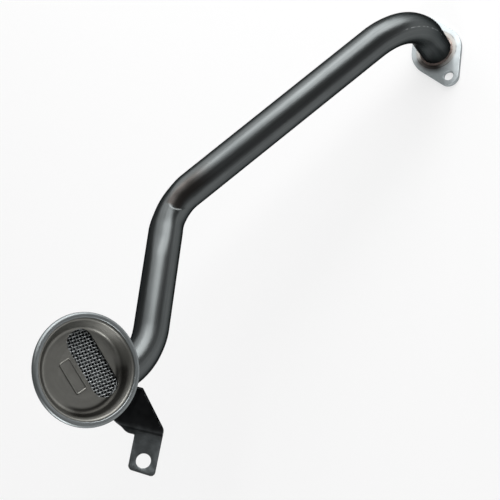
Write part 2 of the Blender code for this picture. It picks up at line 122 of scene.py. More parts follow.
def round_corners(corners: Sequence[Triple], steps: int, closed: bool = True) -> list[Flat]:
    """Round each corner of an outline by an arc tangent to its two sides.

    Args:
        corners: The corners as (x, y, radius).
        steps: How many pieces each arc is made of.
        closed: Whether the last corner joins the first.

    Returns:
        The outline's points.
    """
    outline: list[Flat] = []
    count = len(corners)
    for i, (x, y, radius) in enumerate(corners):
        if radius <= 0 or (not closed and i in (0, count - 1)):
            outline.append((x, y))
            continue
        here = Vector((x, y))
        back = (Vector(corners[i - 1][:2]) - here).normalized()
        ahead = (Vector(corners[(i + 1) % count][:2]) - here).normalized()
        half = back.angle(ahead) / 2
        centre = here + (back + ahead).normalized() * (radius / math.sin(half))
        start = here + back * (radius / math.tan(half)) - centre
        end = here + ahead * (radius / math.tan(half)) - centre
        turn = math.atan2(start.x * end.y - start.y * end.x, start.dot(end))
        for k in range(steps + 1):
            spoke = Matrix.Rotation(turn * k / steps, 2) @ start
            outline.append((centre.x + spoke.x, centre.y + spoke.y))
    return outline


def offset_curve(curve: Sequence[Flat], distance: float) -> list[Flat]:
    """Move a curve that ends on the axis away from the inlet's mouth, mitred at each point.

    Args:
        curve: The points as (radius, height), from the outside to the axis.
        distance: How far it moves, negative for towards the mouth.

    Returns:
        The moved points, the last one on the axis.
    """
    points = [Vector(point) for point in curve]
    moved: list[Flat] = []
    for i, point in enumerate(points):
        before = (point - points[i - 1]).normalized() if i else (points[1] - point).normalized()
        after = (points[i + 1] - point).normalized() if i < len(points) - 1 else before
        bisector = Vector((-before.y - after.y, before.x + after.x)).normalized()
        cosine = max(LEAST_COSINE, bisector.dot(Vector((-before.y, before.x))))
        step = point + bisector * (distance / cosine)
        moved.append((step.x if i < len(points) - 1 else 0.0, step.y))
    return moved


class Shell:
    """A mesh that is skinned over rings of points, with a UV map laid out in metres."""

    def __init__(self) -> None:
        """Start an empty mesh."""
        self.build = bmesh.new()
        self.metres = self.build.loops.layers.uv.new("metres")

    def add_face(self, corners: Sequence[tuple[bmesh.types.BMVert, Flat]]) -> None:
        """Add a face from corners and their UVs, without corners that repeat."""
        kept: list[tuple[bmesh.types.BMVert, Flat]] = []
        for vertex, place in corners:
            if all(vertex is not other for other, _ in kept):
                kept.append((vertex, place))
        if len(kept) < 3:
            return
        face = self.build.faces.new([vertex for vertex, _ in kept])
        for loop, (_, place) in zip(face.loops, kept):
            loop[self.metres].uv = place

    def loft(self, rings: Sequence[Ring], closed: bool = False, girth: float = 0.0,
             lengths: Sequence[float] = ()) -> "Shell":
        """Skin a surface over rings of points.

        Args:
            rings: The rings; a ring of one point is a pole.
            closed: Whether the last ring joins the first, otherwise both ends are capped.
            girth: The distance once round, for the UV map.
            lengths: How far along each ring lies, for the UV map, or nothing to measure it.

        Returns:
            The shell itself.
        """
        rows = [[self.build.verts.new(point) for point in ring] for ring in rings]
        travelled = [0.0]
        for ring, following in zip(rings, list(rings[1:]) + [rings[0]]):
            travelled.append(travelled[-1] + (following[0] - ring[0]).length)
        if lengths:
            travelled = [*lengths, lengths[0]]
        last = len(rows) if closed else len(rows) - 1
        for here in range(last):
            row, following = rows[here], rows[(here + 1) % len(rows)]
            count = max(len(row), len(following))
            for i in range(count):
                left, right = girth * i / count, girth * (i + 1) / count
                low, high = travelled[here], travelled[here + 1]
                self.add_face(((row[i % len(row)], (left, low)),
                               (row[(i + 1) % len(row)], (right, low)),
                               (following[(i + 1) % len(following)], (right, high)),
                               (following[i % len(following)], (left, high))))
        if not closed:
            for row in (rows[0], rows[-1]):
                if len(row) > 2:
                    self.add_face([(vertex, (vertex.co.x, vertex.co.y)) for vertex in row])
        return self

    def revolve(self, section: Sequence[Flat], segments: int,
                wobble: Callable[[Flat, float], float] | None = None) -> "Shell":
        """Turn a section about Z.

        Args:
            section: Points as (radius, height), off the axis or starting and ending on it.
            segments: How many segments go once round.
            wobble: What is added to the radius at a point and an angle.

        Returns:
            The shell itself.
        """
        rings: list[Ring] = []
        for point in section:
            if point[0] < TINY:
                rings.append([Vector((0.0, 0.0, point[1]))])
                continue
            ring: Ring = []
            for i in range(segments):
                angle = 2 * math.pi * i / segments
                radius = point[0] + (wobble(point, angle) if wobble else 0.0)
                ring.append(Vector((radius * math.cos(angle), radius * math.sin(angle), point[1])))
            rings.append(ring)
        widest = max(radius for radius, _ in section)
        return self.loft(rings, closed=section[0][0] > TINY, girth=2 * math.pi * widest)

    def extrude(self, outline: Sequence[Flat], bottom: float, top: float) -> "Shell":
        """Raise a flat outline between two heights."""
        rings = [[Vector((x, y, height)) for x, y in outline] for height in (bottom, top)]
        onward = [*outline[1:], outline[0]]
        return self.loft(rings, girth=sum(math.dist(here, there) for here, there in zip(outline, onward)))

    def piece(self, name: str, place: Matrix | None = None) -> bpy.types.Object:
        """Finish the mesh as an object at the frame's origin, its place in its mesh.

        Args:
            name: The piece's name.
            place: Where the mesh goes.

        Returns:
            The object.
        """
        if place is not None:
            bmesh.ops.transform(self.build, matrix=place, verts=self.build.verts)
        bmesh.ops.recalc_face_normals(self.build, faces=self.build.faces)
        mesh = bpy.data.meshes.new(name)
        self.build.to_mesh(mesh)
        self.build.free()
        return put_in_scene(name, mesh)


class Workbench:
    """Solid work on finished pieces, with every modifier applied at once."""

    @staticmethod
    def settle(piece: bpy.types.Object) -> None:
        """Replace the piece's mesh by what its modifiers make of it."""
        bpy.context.view_layer.update()
        evaluated = piece.evaluated_get(bpy.context.evaluated_depsgraph_get())
        mesh = bpy.data.meshes.new_from_object(evaluated)
        piece.modifiers.clear()
        old, piece.data = piece.data, mesh
        bpy.data.meshes.remove(old)

    @staticmethod
    def carve(piece: bpy.types.Object, tool: bpy.types.Object, operation: Operation) -> None:
        """Combine the piece with a tool solid, then throw the tool away."""
        modifier = piece.modifiers.new("carve", 'BOOLEAN')
        modifier.operation = operation.value
        modifier.solver = 'EXACT'
        modifier.object = tool
        Workbench.settle(piece)
        bpy.data.objects.remove(tool, do_unlink=True)

    @staticmethod
    def ease(piece: bpy.types.Object, width: float, angle: float = 40.0) -> None:
        """Round the edges that are sharper than the angle, in degrees."""
        modifier = piece.modifiers.new("ease", 'BEVEL')
        modifier.width = width
        modifier.segments = EDGE_STRIPS
        modifier.limit_method = 'ANGLE'
        modifier.angle_limit = math.radians(angle)
        Workbench.settle(piece)

    @staticmethod
    def melt(piece: bpy.types.Object, voxel: float, passes: int, unevenness: float) -> None:
        """Turn a rough solid into a bead of run metal.

        Args:
            piece: The solid.
            voxel: The size of its new faces.
            passes: How many times it is smoothed.
            unevenness: How far its surface moves in or out.
        """
        remesh = piece.modifiers.new("remesh", 'REMESH')
        remesh.mode = 'VOXEL'
        remesh.voxel_size = voxel
        soften = piece.modifiers.new("soften", 'SMOOTH')
        soften.iterations = passes
        soften.factor = SMOOTHING
        Workbench.settle(piece)
        normals = [vertex.normal.copy() for vertex in piece.data.vertices]
        for vertex, normal in zip(piece.data.vertices, normals):
            vertex.co += normal * unevenness * noise.noise(vertex.co / RUN_LUMPS)

    @staticmethod
    def shade(piece: bpy.types.Object, angle: float) -> None:
        """Shade smooth up to the angle, in degrees."""
        piece.data.shade_smooth()
        piece.data.set_sharp_from_angle(angle=math.radians(angle))


class Graph:
    """Adds and joins nodes in one node tree."""

    def __init__(self, tree: bpy.types.NodeTree) -> None:
        """Keep the tree."""
        self.tree = tree

    def feed(self, socket: bpy.types.NodeSocket, value: object) -> None:
        """Link a socket to the input, or write a plain value to it."""
        if isinstance(value, bpy.types.NodeSocket):
            self.tree.links.new(value, socket)
        else:
            socket.default_value = value

    def add(self, kind: str, inputs: dict[str | int, object] | None = None,
            **settings: object) -> bpy.types.Node:
        """Add a node.

        Args:
            kind: The node's type.
            inputs: Values or sockets for its inputs, by name or number.
            **settings: Its other settings.

        Returns:
            The node.
        """
        node = self.tree.nodes.new(kind)
        for name, value in settings.items():
            setattr(node, name, value)
        for name, value in (inputs or {}).items():
            self.feed(node.inputs[name], value)
        return node

    def reckon(self, operation: str, *values: object) -> bpy.types.NodeSocket:
        """Work out a sum by a Math node."""
        return self.add("ShaderNodeMath", dict(enumerate(values)), operation=operation).outputs[0]

    def times(self, *values: object) -> bpy.types.NodeSocket:
        """Multiply two numbers or more."""
        product = values[0]
        for value in values[1:]:
            product = self.reckon('MULTIPLY', product, value)
        return product

    def away(self, value: object, middle: float) -> bpy.types.NodeSocket:
        """How far a number is from the middle, either way."""
        return self.reckon('ABSOLUTE', self.reckon('SUBTRACT', value, middle))

    def length(self, first: object, second: object) -> bpy.types.NodeSocket:
        """The length of a flat vector from its two numbers."""
        squares = self.reckon('ADD', self.times(first, first), self.times(second, second))
        return self.reckon('SQRT', squares)

    def reach(self, vector: object, side: object) -> bpy.types.NodeSocket:
        """How far a vector reaches to a side."""
        node = self.add("ShaderNodeVectorMath", {0: vector, 1: side}, operation='DOT_PRODUCT')
        return node.outputs["Value"]

    def drift(self, vector: object, scale: float, spread: float) -> bpy.types.NodeSocket:
        """A soft noise about zero, made as wide as the spread."""
        return self.times(self.reckon('SUBTRACT', self.noise(vector, scale), 0.5), spread)

    def climb(self, value: object, low: float, high: float, start: float = 0.0,
              end: float = 1.0) -> bpy.types.NodeSocket:
        """Map a value eased from low..high to start..end, and hold it there."""
        node = self.add("ShaderNodeMapRange", {"Value": value, "From Min": low, "From Max": high,
                                               "To Min": start, "To Max": end})
        node.interpolation_type = 'SMOOTHSTEP'
        return node.outputs["Result"]

    def stroke(self, value: object, middle: float, width: float) -> bpy.types.NodeSocket:
        """A line with soft edges, drawn where a number is near the middle."""
        return self.climb(self.away(value, middle), width, STROKE_CORE * width)

    def blend(self, share: object, first: object, second: object) -> bpy.types.NodeSocket:
        """Mix two colours by the share of the second."""
        node = self.add("ShaderNodeMix", data_type='RGBA')
        for index, value in ((0, share), (6, first), (7, second)):
            if isinstance(value, tuple):
                value = (*value, 1.0)
            self.feed(node.inputs[index], value)
        return node.outputs[2]

    def noise(self, vector: object, scale: object, detail: float = 3.0) -> bpy.types.NodeSocket:
        """Add a noise texture and return its value."""
        inputs = {"Vector": vector, "Scale": scale, "Detail": detail}
        return self.add("ShaderNodeTexNoise", inputs).outputs[0]

    def parts(self, vector: object) -> Sequence[bpy.types.NodeSocket]:
        """Split a vector into its three numbers."""
        return self.add("ShaderNodeSeparateXYZ", {0: vector}).outputs

    def place(self, coordinates: Coordinates) -> bpy.types.NodeSocket:
        """The texture coordinates of a kind."""
        return self.add("ShaderNodeTexCoord").outputs[coordinates.value]

    def use(self, group: bpy.types.NodeTree, vector: object, **values: object) -> bpy.types.NodeSocket:
        """Place a shared effect and return what it puts out."""
        node = self.add("ShaderNodeGroup", node_tree=group)
        for name, value in {"Vector": vector, **values}.items():
            self.feed(node.inputs[name], value)
        return node.outputs[0]


def open_material(name: str) -> tuple[bpy.types.Material, Graph, bpy.types.Node]:
    """Start a node material and return it with its graph and its shader."""
    made = bpy.data.materials.new(name)
    made.use_nodes = True
    return made, Graph(made.node_tree), made.node_tree.nodes["Principled BSDF"]


class Effects:
    """The surface effects that several finishes share, each a node group that is built once."""

    # How coarse the broad lines are, and their share beside the fine ones
    BROAD_SCALE, BROAD_SHARE = 0.27, 0.45
    # How closely a rubbed edge breaks up, the noise that breaks it, and the turn that counts as an edge
    RUB_DENSITY, RUB_GAPS, RUB_TURN = 420.0, (0.42, 0.62), (0.995, 0.90)
    # How close the pits lie, and how far from its middle each one starts and ends
    PIT_DENSITY, PIT_EDGE = 420.0, (0.16, 0.05)

    def __init__(self) -> None:
        """Build every group."""
        self.lines = self.build_lines()
        self.blotches = self.build_blotches()
        self.rub = self.build_rub()
        self.grain = self.build_grain()

    @staticmethod
    def open_group(name: str, inputs: Sequence[tuple[str, str, object]],
                   output: str) -> tuple[Graph, dict[str, bpy.types.NodeSocket], bpy.types.NodeSocket]:
        """Start a group.

        Args:
            name: The group's name.
            inputs: Its inputs as (name, kind of socket, default).
            output: The name of its one output, a number.

        Returns:
            The graph, the inputs' sockets inside it, and the socket that the output takes.
        """
        tree = bpy.data.node_groups.new(name, "ShaderNodeTree")
        for label, kind, default in inputs:
            socket = tree.interface.new_socket(name=label, in_out='INPUT', socket_type=kind)
            if default is not None:
                socket.default_value = default
        tree.interface.new_socket(name=output, in_out='OUTPUT', socket_type="NodeSocketFloat")
        graph = Graph(tree)
        given = graph.add("NodeGroupInput").outputs
        out = graph.add("NodeGroupOutput").inputs[0]
        return graph, {label: given[label] for label, _, _ in inputs}, out

    def build_lines(self) -> bpy.types.NodeTree:
        """Fine lines left by drawing or spinning the metal, about 0.5 where there are none."""
        graph, given, out = self.open_group("drawn_lines", (
            ("Vector", "NodeSocketVector", None), ("Density", "NodeSocketVector", (900.0, 14.0, 1.0)),
            ("Contrast", "NodeSocketFloat", 1.0)), "Value")
        spread = graph.add("ShaderNodeVectorMath", {0: given["Vector"], 1: given["Density"]},
                           operation='MULTIPLY').outputs[0]
        fine = graph.noise(spread, 1.0, detail=5.0)
        broad = graph.noise(spread, self.BROAD_SCALE, detail=2.0)
        both = graph.reckon('ADD', graph.times(fine, 1.0 - self.BROAD_SHARE),
                            graph.times(broad, self.BROAD_SHARE))
        swing = graph.times(graph.reckon('SUBTRACT', both, 0.5), given["Contrast"])
        graph.feed(out, graph.reckon('ADD', swing, 0.5))
        return graph.tree

    def build_blotches(self) -> bpy.types.NodeTree:
        """Soft cloudy patches such as an oil film or heat leaves, from 0 to 1."""
        graph, given, out = self.open_group("soft_blotches", (
            ("Vector", "NodeSocketVector", None), ("Density", "NodeSocketFloat", 60.0),
            ("Softness", "NodeSocketFloat", 0.18)), "Value")
        cloud = graph.noise(given["Vector"], given["Density"], detail=4.0)
        low = graph.reckon('SUBTRACT', 0.5, given["Softness"])
        high = graph.reckon('ADD', 0.5, given["Softness"])
        graph.feed(out, graph.climb(cloud, low, high))
        return graph.tree

    def build_rub(self) -> bpy.types.NodeTree:
        """A broken mask of the edges that handling has rubbed bright, from 0 to 1."""
        graph, given, out = self.open_group("rubbed_edges", (
            ("Vector", "NodeSocketVector", None), ("Reach", "NodeSocketFloat", 0.5 * MM),
            ("Amount", "NodeSocketFloat", 0.5)), "Mask")
        eased = graph.add("ShaderNodeBevel", {"Radius": given["Reach"]}, samples=4).outputs[0]
        plain = graph.add("ShaderNodeNewGeometry").outputs["Normal"]
        edge = graph.climb(graph.reach(eased, plain), *self.RUB_TURN)
        broken = graph.climb(graph.noise(given["Vector"], self.RUB_DENSITY), *self.RUB_GAPS)
        graph.feed(out, graph.times(edge, broken, given["Amount"]))
        return graph.tree

    def build_grain(self) -> bpy.types.NodeTree:
        """A rolled sheet's fine grain as a height, with a few shallow pits."""
        graph, given, out = self.open_group("fine_grain", (
            ("Vector", "NodeSocketVector", None), ("Density", "NodeSocketFloat", 2500.0),
            ("Pits", "NodeSocketFloat", 0.3)), "Height")
        grain = graph.noise(given["Vector"], given["Density"], detail=2.0)
        cells = graph.add("ShaderNodeTexVoronoi", {"Vector": given["Vector"], "Scale": self.PIT_DENSITY})
        pits = graph.times(graph.climb(cells.outputs["Distance"], *self.PIT_EDGE), given["Pits"])
        graph.feed(out, graph.reckon('SUBTRACT', grain, pits))
        return graph.tree


@dataclass(frozen=True)
class SteelFinish:
    """A worked steel surface: its colour, gloss, lines, blotches, grain and rubbed edges."""

    name: str
    slot: str
    colour: Colour
    clouded: Colour
    roughness: float
    swing: float = 0.06
    edge_tint: float = 0.5
    coordinates: Coordinates = Coordinates.SPACE
    line_density: Triple = (900.0, 900.0, 900.0)
    line_spread: Flat = (0.3, 0.7)
    line_shade: float = 0.25
    cloud_density: float = 60.0
    cloud_share: float = 0.5
    grain_density: float = 2500.0
    grain_depth: float = 0.12
    grain_height: float = 0.05 * MM
    line_height: float = 0.6
    pits: float = 0.3
    rub: float = 0.0
    rub_reach: float = 0.5 * MM
    rubbed: Colour = (0.55, 0.57, 0.57)
    rub_gloss: float = 0.1

    def marks(self, graph: Graph, colour: bpy.types.NodeSocket,
              vector: bpy.types.NodeSocket) -> bpy.types.NodeSocket:
        """Add the marks that only this finish has to its colour."""
        return colour

    def material(self, effects: Effects) -> bpy.types.Material:
        """Build the material.

        Args:
            effects: The shared effects.

        Returns:
            The material.
        """
        made, graph, shader = open_material(self.name)
        space = graph.place(Coordinates.SPACE)
        lines = graph.use(effects.lines, graph.place(self.coordinates), Density=self.line_density)
        clouds = graph.use(effects.blotches, space, Density=self.cloud_density)
        grain = graph.use(effects.grain, space, Density=self.grain_density, Pits=self.pits)
        colour = graph.blend(graph.times(clouds, self.cloud_share), self.colour, self.clouded)
        shade = graph.climb(lines, *self.line_spread, 1.0 - self.line_shade, 1.0 + self.line_shade)
        scaled = graph.add("ShaderNodeVectorMath", {0: colour, 3: shade}, operation='SCALE').outputs[0]
        colour = self.marks(graph, scaled, space)
        streaks = graph.climb(lines, *self.line_spread, -self.swing, self.swing)
        roughness = graph.reckon('ADD', streaks, self.roughness)
        roughness = graph.reckon('ADD', roughness, graph.times(clouds, self.swing))
        if self.rub > 0:
            worn = graph.use(effects.rub, space, Reach=self.rub_reach, Amount=self.rub)
            colour = graph.blend(worn, colour, self.rubbed)
            roughness = graph.reckon('SUBTRACT', roughness, graph.times(worn, self.rub_gloss))
        height = graph.reckon('ADD', grain, graph.times(lines, self.line_height))
        bump = graph.add("ShaderNodeBump", {"Strength": self.grain_depth, "Distance": self.grain_height,
                                            "Height": height})
        graph.feed(shader.inputs["Base Color"], colour)
        graph.feed(shader.inputs["Roughness"], roughness)
        graph.feed(shader.inputs["Normal"], bump.outputs[0])
        shader.inputs["Metallic"].default_value = 1.0
        shader.inputs["Specular Tint"].default_value = (self.edge_tint, self.edge_tint, self.edge_tint, 1.0)
        return made


@dataclass(frozen=True)
class TubeFinish(SteelFinish):
    """The drawn tube's dark steel, with the bend die's brown tint deepened by painted shade, and its pale
    parting line.
    """

    # The die mark's brown tint, made darker as painted shade over the pressed patch
    tint_and_shade_colour: Colour = (0.050, 0.042, 0.038)
    tint_shade_from: float = 215.0 * MM
    tint_shade_to: float = 259.5 * MM
    tint_shade_middle: float = 17.0 * MM
    tint_shade_reach: float = 7.5 * MM
    tint_shade_onset: float = 25.0 * MM
    tint_shade_end: float = 2.0 * MM
    tint_shade_fade: float = 4.0 * MM
    tint_shade_share: float = 0.8
    seam_from: float = 24.0 * MM
    seam_to: float = 67.0 * MM
    seam_around: float = 11.65 * MM
    seam_width: float = 0.35 * MM
    seam_fade: float = 3.0 * MM
    seam_density: float = 260.0
    seam_gaps: Flat = (0.40, 0.60)
    seam_share: float = 0.7
    seam_colour: Colour = (0.40, 0.42, 0.42)

    def marks(self, graph: Graph, colour: bpy.types.NodeSocket,
              vector: bpy.types.NodeSocket) -> bpy.types.NodeSocket:
        """Warm the steel before the die's step with a brown tint deepened by painted shade, and draw the
        parting line on the first bend.
        """
        around, along, _ = graph.parts(graph.place(Coordinates.SURFACE))
        # The die mark's brown tint, deepened by painted shade that dims the highlight there
        rise = graph.climb(along, self.tint_shade_from, self.tint_shade_from + self.tint_shade_onset)
        stop = graph.climb(along, self.tint_shade_to, self.tint_shade_to - self.tint_shade_end)
        beside = graph.away(around, self.tint_shade_middle)
        near = graph.climb(beside, self.tint_shade_reach, self.tint_shade_reach - self.tint_shade_fade)
        colour = graph.blend(graph.times(rise, stop, near, self.tint_shade_share), colour, self.tint_and_shade_colour)
        line = graph.stroke(around, self.seam_around, self.seam_width)
        start = graph.climb(along, self.seam_from, self.seam_from + self.seam_fade)
        end = graph.climb(along, self.seam_to, self.seam_to - self.seam_fade)
        broken = graph.climb(graph.noise(vector, self.seam_density, detail=4.0), *self.seam_gaps)
        return graph.blend(graph.times(line, start, end, broken, self.seam_share), colour, self.seam_colour)


@dataclass(frozen=True)
class FlangeFinish(SteelFinish):
    """The flange's bright satin steel, with the ring that brazing left round the tube and painted shade
    beside its foot.
    """

    ring_radius: float = 14.6 * MM
    ring_width: float = 0.45 * MM
    ring_density: float = 130.0
    ring_gaps: Flat = (0.38, 0.58)
    ring_share: float = 0.75
    ring_colour: Colour = (0.10, 0.105, 0.11)
    heat_outside: float = 1.6 * MM
    heat_inside: float = 1.2 * MM
    heat_share: float = 0.6
    heated: Colour = (0.34, 0.30, 0.26)
    # Painted shade on the plate beside the tube's foot: its side, reach and colour
    foot_shade_side: Triple = (0.62, -0.78, 0.0)
    foot_shade_turn: Flat = (0.62, 0.95)
    foot_shade_density: float = 90.0
    foot_shade_drift: float = 0.3
    foot_shade_from: float = 20.0 * MM
    foot_shade_to: float = 13.0 * MM
    foot_shade_share: float = 0.9
    foot_shade_colour: Colour = (0.035, 0.028, 0.025)

    def marks(self, graph: Graph, colour: bpy.types.NodeSocket,
              vector: bpy.types.NodeSocket) -> bpy.types.NodeSocket:
        """Tint the steel beside the braze, draw the ring and paint shade on the plate beside the tube's
        foot, on one side.
        """
        x, y, _ = graph.parts(vector)
        radius = graph.length(x, y)
        outside, inside = self.ring_radius + self.heat_outside, self.ring_radius - self.heat_inside
        warm = graph.climb(radius, outside, inside)
        colour = graph.blend(graph.times(warm, self.heat_share), colour, self.heated)
        line = graph.stroke(radius, self.ring_radius, self.ring_width)
        broken = graph.climb(graph.noise(vector, self.ring_density), *self.ring_gaps)
        colour = graph.blend(graph.times(line, broken, self.ring_share), colour, self.ring_colour)
        # Painted shade: the plate beside the tube's foot is darkened on one side
        turned = graph.reckon('DIVIDE', graph.reach(vector, self.foot_shade_side), radius)
        turned = graph.reckon('ADD', turned, graph.drift(vector, self.foot_shade_density, self.foot_shade_drift))
        side = graph.climb(turned, *self.foot_shade_turn)
        darkened = graph.climb(radius, self.foot_shade_from, self.foot_shade_to)
        return graph.blend(graph.times(side, darkened, self.foot_shade_share), colour, self.foot_shade_colour)


@dataclass(frozen=True)
class CoverFinish(SteelFinish):
    """The cover's warm steel, with painted shade on the dish's wall and its foot on one side."""

    middle: Triple = (185.15 * MM, -236.71 * MM, 181.25 * MM)
    dish_shade_side: Triple = (0.766, 0.061, -0.640)
    dish_shade_across: Triple = (0.520, -0.643, 0.562)
    painted_shade_from: float = 20.4 * MM
    painted_shade_onset: float = 2.0 * MM
    painted_shade_to: float = 27.8 * MM
    painted_shade_fade: float = 1.5 * MM
    painted_shade_turn: Flat = (0.25, 0.75)
    painted_shade_density: float = 120.0
    painted_shade_drift: float = 0.3
    painted_shade_share: float = 0.9
    # The dark colour of the painted shade on the dish's wall and foot
    painted_shade_colour: Colour = (0.018, 0.017, 0.015)

    def marks(self, graph: Graph, colour: bpy.types.NodeSocket,
              vector: bpy.types.NodeSocket) -> bpy.types.NodeSocket:
        """Paint shade on the wall and its foot on one side, with an uneven edge."""
        # Painted shade: darkens the dish's wall and its foot on one side
        place = graph.add("ShaderNodeVectorMath", {0: vector, 1: self.middle}, operation='SUBTRACT')
        low, level = (graph.reach(place.outputs[0], side) for side in (self.dish_shade_side, self.dish_shade_across))
        radius = graph.length(low, level)
        turned = graph.reckon('ADD', graph.reckon('DIVIDE', low, radius),
                              graph.drift(vector, self.painted_shade_density, self.painted_shade_drift))
        foot = graph.climb(radius, self.painted_shade_from, self.painted_shade_from + self.painted_shade_onset)
        top = graph.climb(radius, self.painted_shade_to, self.painted_shade_to - self.painted_shade_fade)
        held = graph.times(foot, top, graph.climb(turned, *self.painted_shade_turn), self.painted_shade_share)
        return graph.blend(held, colour, self.painted_shade_colour)


@dataclass(frozen=True)
class BracketFinish(SteelFinish):
    """The strap's dark sheet, with painted shade that blackens it from its root to the fold."""

    root_side: Triple = (-0.643, 0.667, 0.377)
    unshaded_below: float = -256.0 * MM
    shaded_above: float = -244.0 * MM
    front_density: float = 110.0
    front_drift: float = 5.0 * MM
    # The near-black colour of the painted shade on the web
    bracket_shade_colour: Colour = (0.010, 0.0105, 0.011)

    def marks(self, graph: Graph, colour: bpy.types.NodeSocket,
              vector: bpy.types.NodeSocket) -> bpy.types.NodeSocket:
        """Paint shade over the web, with an uneven front across the fold."""
        # Painted shade: the web is darkened while the tab keeps the lighter steel
        front = graph.reckon('ADD', graph.reach(vector, self.root_side),
                             graph.drift(vector, self.front_density, self.front_drift))
        return graph.blend(graph.climb(front, self.unshaded_below, self.shaded_above), colour, self.bracket_shade_colour)


@dataclass(frozen=True)
class BrazeFinish:
    """Copper-coloured braze with paler and darker runs, spots of burnt flux and painted shade on one side.
    """

    name: str
    slot: str
    copper: Colour = (0.32, 0.22, 0.18)
    pale: Colour = (0.46, 0.40, 0.37)
    flux_and_shade_colour: Colour = (0.030, 0.022, 0.019)
    braze_shade_side: Triple = (0.89, -0.46, 0.0)
    braze_shade_turn: Flat = (-0.05, 0.45)
    spot_density: float = 210.0
    spot_gaps: Flat = (0.50, 0.66)
    cloud_density: float = 330.0
    grain_density: float = 900.0
    grain_depth: float = 0.35
    grain_height: float = 0.15 * MM
    flux_and_shade_share: float = 0.8
    roughness: float = 0.42
    flux_and_shade_roughness: float = 0.75
    flux_and_shade_metallic: float = 0.1

    def material(self, effects: Effects) -> bpy.types.Material:
        """Build the material.

        Args:
            effects: The shared effects.

        Returns:
            The material.
        """
        made, graph, shader = open_material(self.name)
        space = graph.place(Coordinates.SPACE)
        clouds = graph.use(effects.blotches, space, Density=self.cloud_density)
        grain = graph.use(effects.grain, space, Density=self.grain_density)
        spots = graph.climb(graph.noise(space, self.spot_density, detail=5.0), *self.spot_gaps)
        outward = graph.add("ShaderNodeNewGeometry").outputs["Normal"]
        # Painted shade: the braze's side that faces this way is darkened, together with the real flux spots
        shaded_side_mask = graph.climb(graph.reach(outward, self.braze_shade_side), *self.braze_shade_turn)
        darkened = graph.reckon('MAXIMUM', spots, shaded_side_mask)
        colour = graph.blend(clouds, self.copper, self.pale)
        colour = graph.blend(graph.times(darkened, self.flux_and_shade_share), colour, self.flux_and_shade_colour)
        bump = graph.add("ShaderNodeBump", {"Strength": self.grain_depth, "Distance": self.grain_height,
                                            "Height": grain})
        graph.feed(shader.inputs["Base Color"], colour)
        graph.feed(shader.inputs["Roughness"],
                   graph.climb(darkened, 0.0, 1.0, self.roughness, self.flux_and_shade_roughness))
        graph.feed(shader.inputs["Metallic"], graph.climb(darkened, 0.0, 1.0, 1.0, self.flux_and_shade_metallic))
        graph.feed(shader.inputs["Normal"], bump.outputs[0])
        return made


Finish = SteelFinish | BrazeFinish

TUBE_STEEL = TubeFinish(
    name="dark_drawn_steel", slot="tube_steel", colour=(0.108, 0.116, 0.117), clouded=(0.092, 0.099, 0.100),
    roughness=0.31, swing=0.03, edge_tint=0.06, coordinates=Coordinates.SURFACE,
    line_density=(1100.0, 16.0, 1.0), line_shade=0.12, cloud_density=34.0, cloud_share=0.7,
    grain_density=3200.0, grain_depth=0.10)
FLANGE_STEEL = FlangeFinish(
    name="satin_flange_steel", slot="flange_steel", colour=(0.42, 0.455, 0.465), clouded=(0.37, 0.40, 0.41),
    roughness=0.54, swing=0.05, edge_tint=0.35, line_density=(150.0, 150.0, 150.0), line_shade=0.08,
    cloud_density=120.0, grain_density=2600.0, grain_depth=0.2, rub=0.4, rubbed=(0.75, 0.77, 0.78))
BRAZE = BrazeFinish(name="copper_braze", slot="braze")
BELL_STEEL = SteelFinish(
    name="grey_bell_steel", slot="housing_steel", colour=(0.25, 0.27, 0.275), clouded=(0.20, 0.215, 0.22),
    roughness=0.42, swing=0.05, edge_tint=0.25, coordinates=Coordinates.SURFACE,
    line_density=(10.0, 1300.0, 1.0), line_shade=0.16, cloud_density=90.0, grain_density=2800.0,
    grain_depth=0.15, rub=0.5, rub_reach=0.4 * MM, rubbed=(0.45, 0.47, 0.48))
COVER_STEEL = CoverFinish(
    name="warm_cover_steel", slot="cover_steel", colour=(0.24, 0.238, 0.220), clouded=(0.185, 0.183, 0.170),
    roughness=0.46, swing=0.04, edge_tint=0.3, coordinates=Coordinates.SURFACE,
    line_density=(26.0, 700.0, 1.0), line_shade=0.06, cloud_density=110.0, grain_density=1900.0,
    grain_depth=0.35, rub=0.5, rub_reach=0.35 * MM, rubbed=(0.5, 0.49, 0.47))
WIRE_STEEL = SteelFinish(
    name="bright_screen_wire", slot="screen_wire", colour=(0.46, 0.48, 0.485), clouded=(0.36, 0.375, 0.38),
    roughness=0.42, swing=0.05, edge_tint=0.4, line_density=(700.0, 700.0, 700.0), line_shade=0.12,
    cloud_density=240.0, grain_density=3000.0, grain_depth=0.1, pits=0.0)
BRACKET_STEEL = BracketFinish(
    name="dark_bracket_steel", slot="bracket_steel",
    colour=(0.150, 0.164, 0.168), clouded=(0.120, 0.131, 0.134),
    roughness=0.36, swing=0.05, edge_tint=0.1, line_density=(300.0, 300.0, 300.0), line_shade=0.10,
    cloud_density=130.0, grain_density=2200.0, grain_depth=0.3, rub=0.65, rub_reach=0.45 * MM,
    rubbed=(0.42, 0.45, 0.46))


class Dresser:
    """Gives finished pieces their material and body, and hides the solid that they stand for."""

    def __init__(self, effects: Effects) -> None:
        """Keep the shared effects."""
        self.effects = effects
        self.made: dict[str, bpy.types.Material] = {}

    def dress(self, piece: bpy.types.Object, finish: Finish, node: str = "") -> None:
        """Dress one piece and report it.

        Args:
            piece: The piece.
            finish: Its finish.
            node: The solid that it stands for, if there is one.
        """
        if finish.name not in self.made:
            self.made[finish.name] = finish.material(self.effects)
        piece.data.materials.clear()
        piece.data.materials.append(self.made[finish.name])
        if node:
            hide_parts(node)
        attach(piece, "root")
        LOG.info("%s: %d faces, %s", piece.name, len(piece.data.polygons), finish.name)


@dataclass(frozen=True)
class Station:
    """A place on the tube's centre line, with the side it bends to and how far it is flattened."""

    along: float
    place: Vector
    heading: Vector
    side: Vector
    squeeze: float


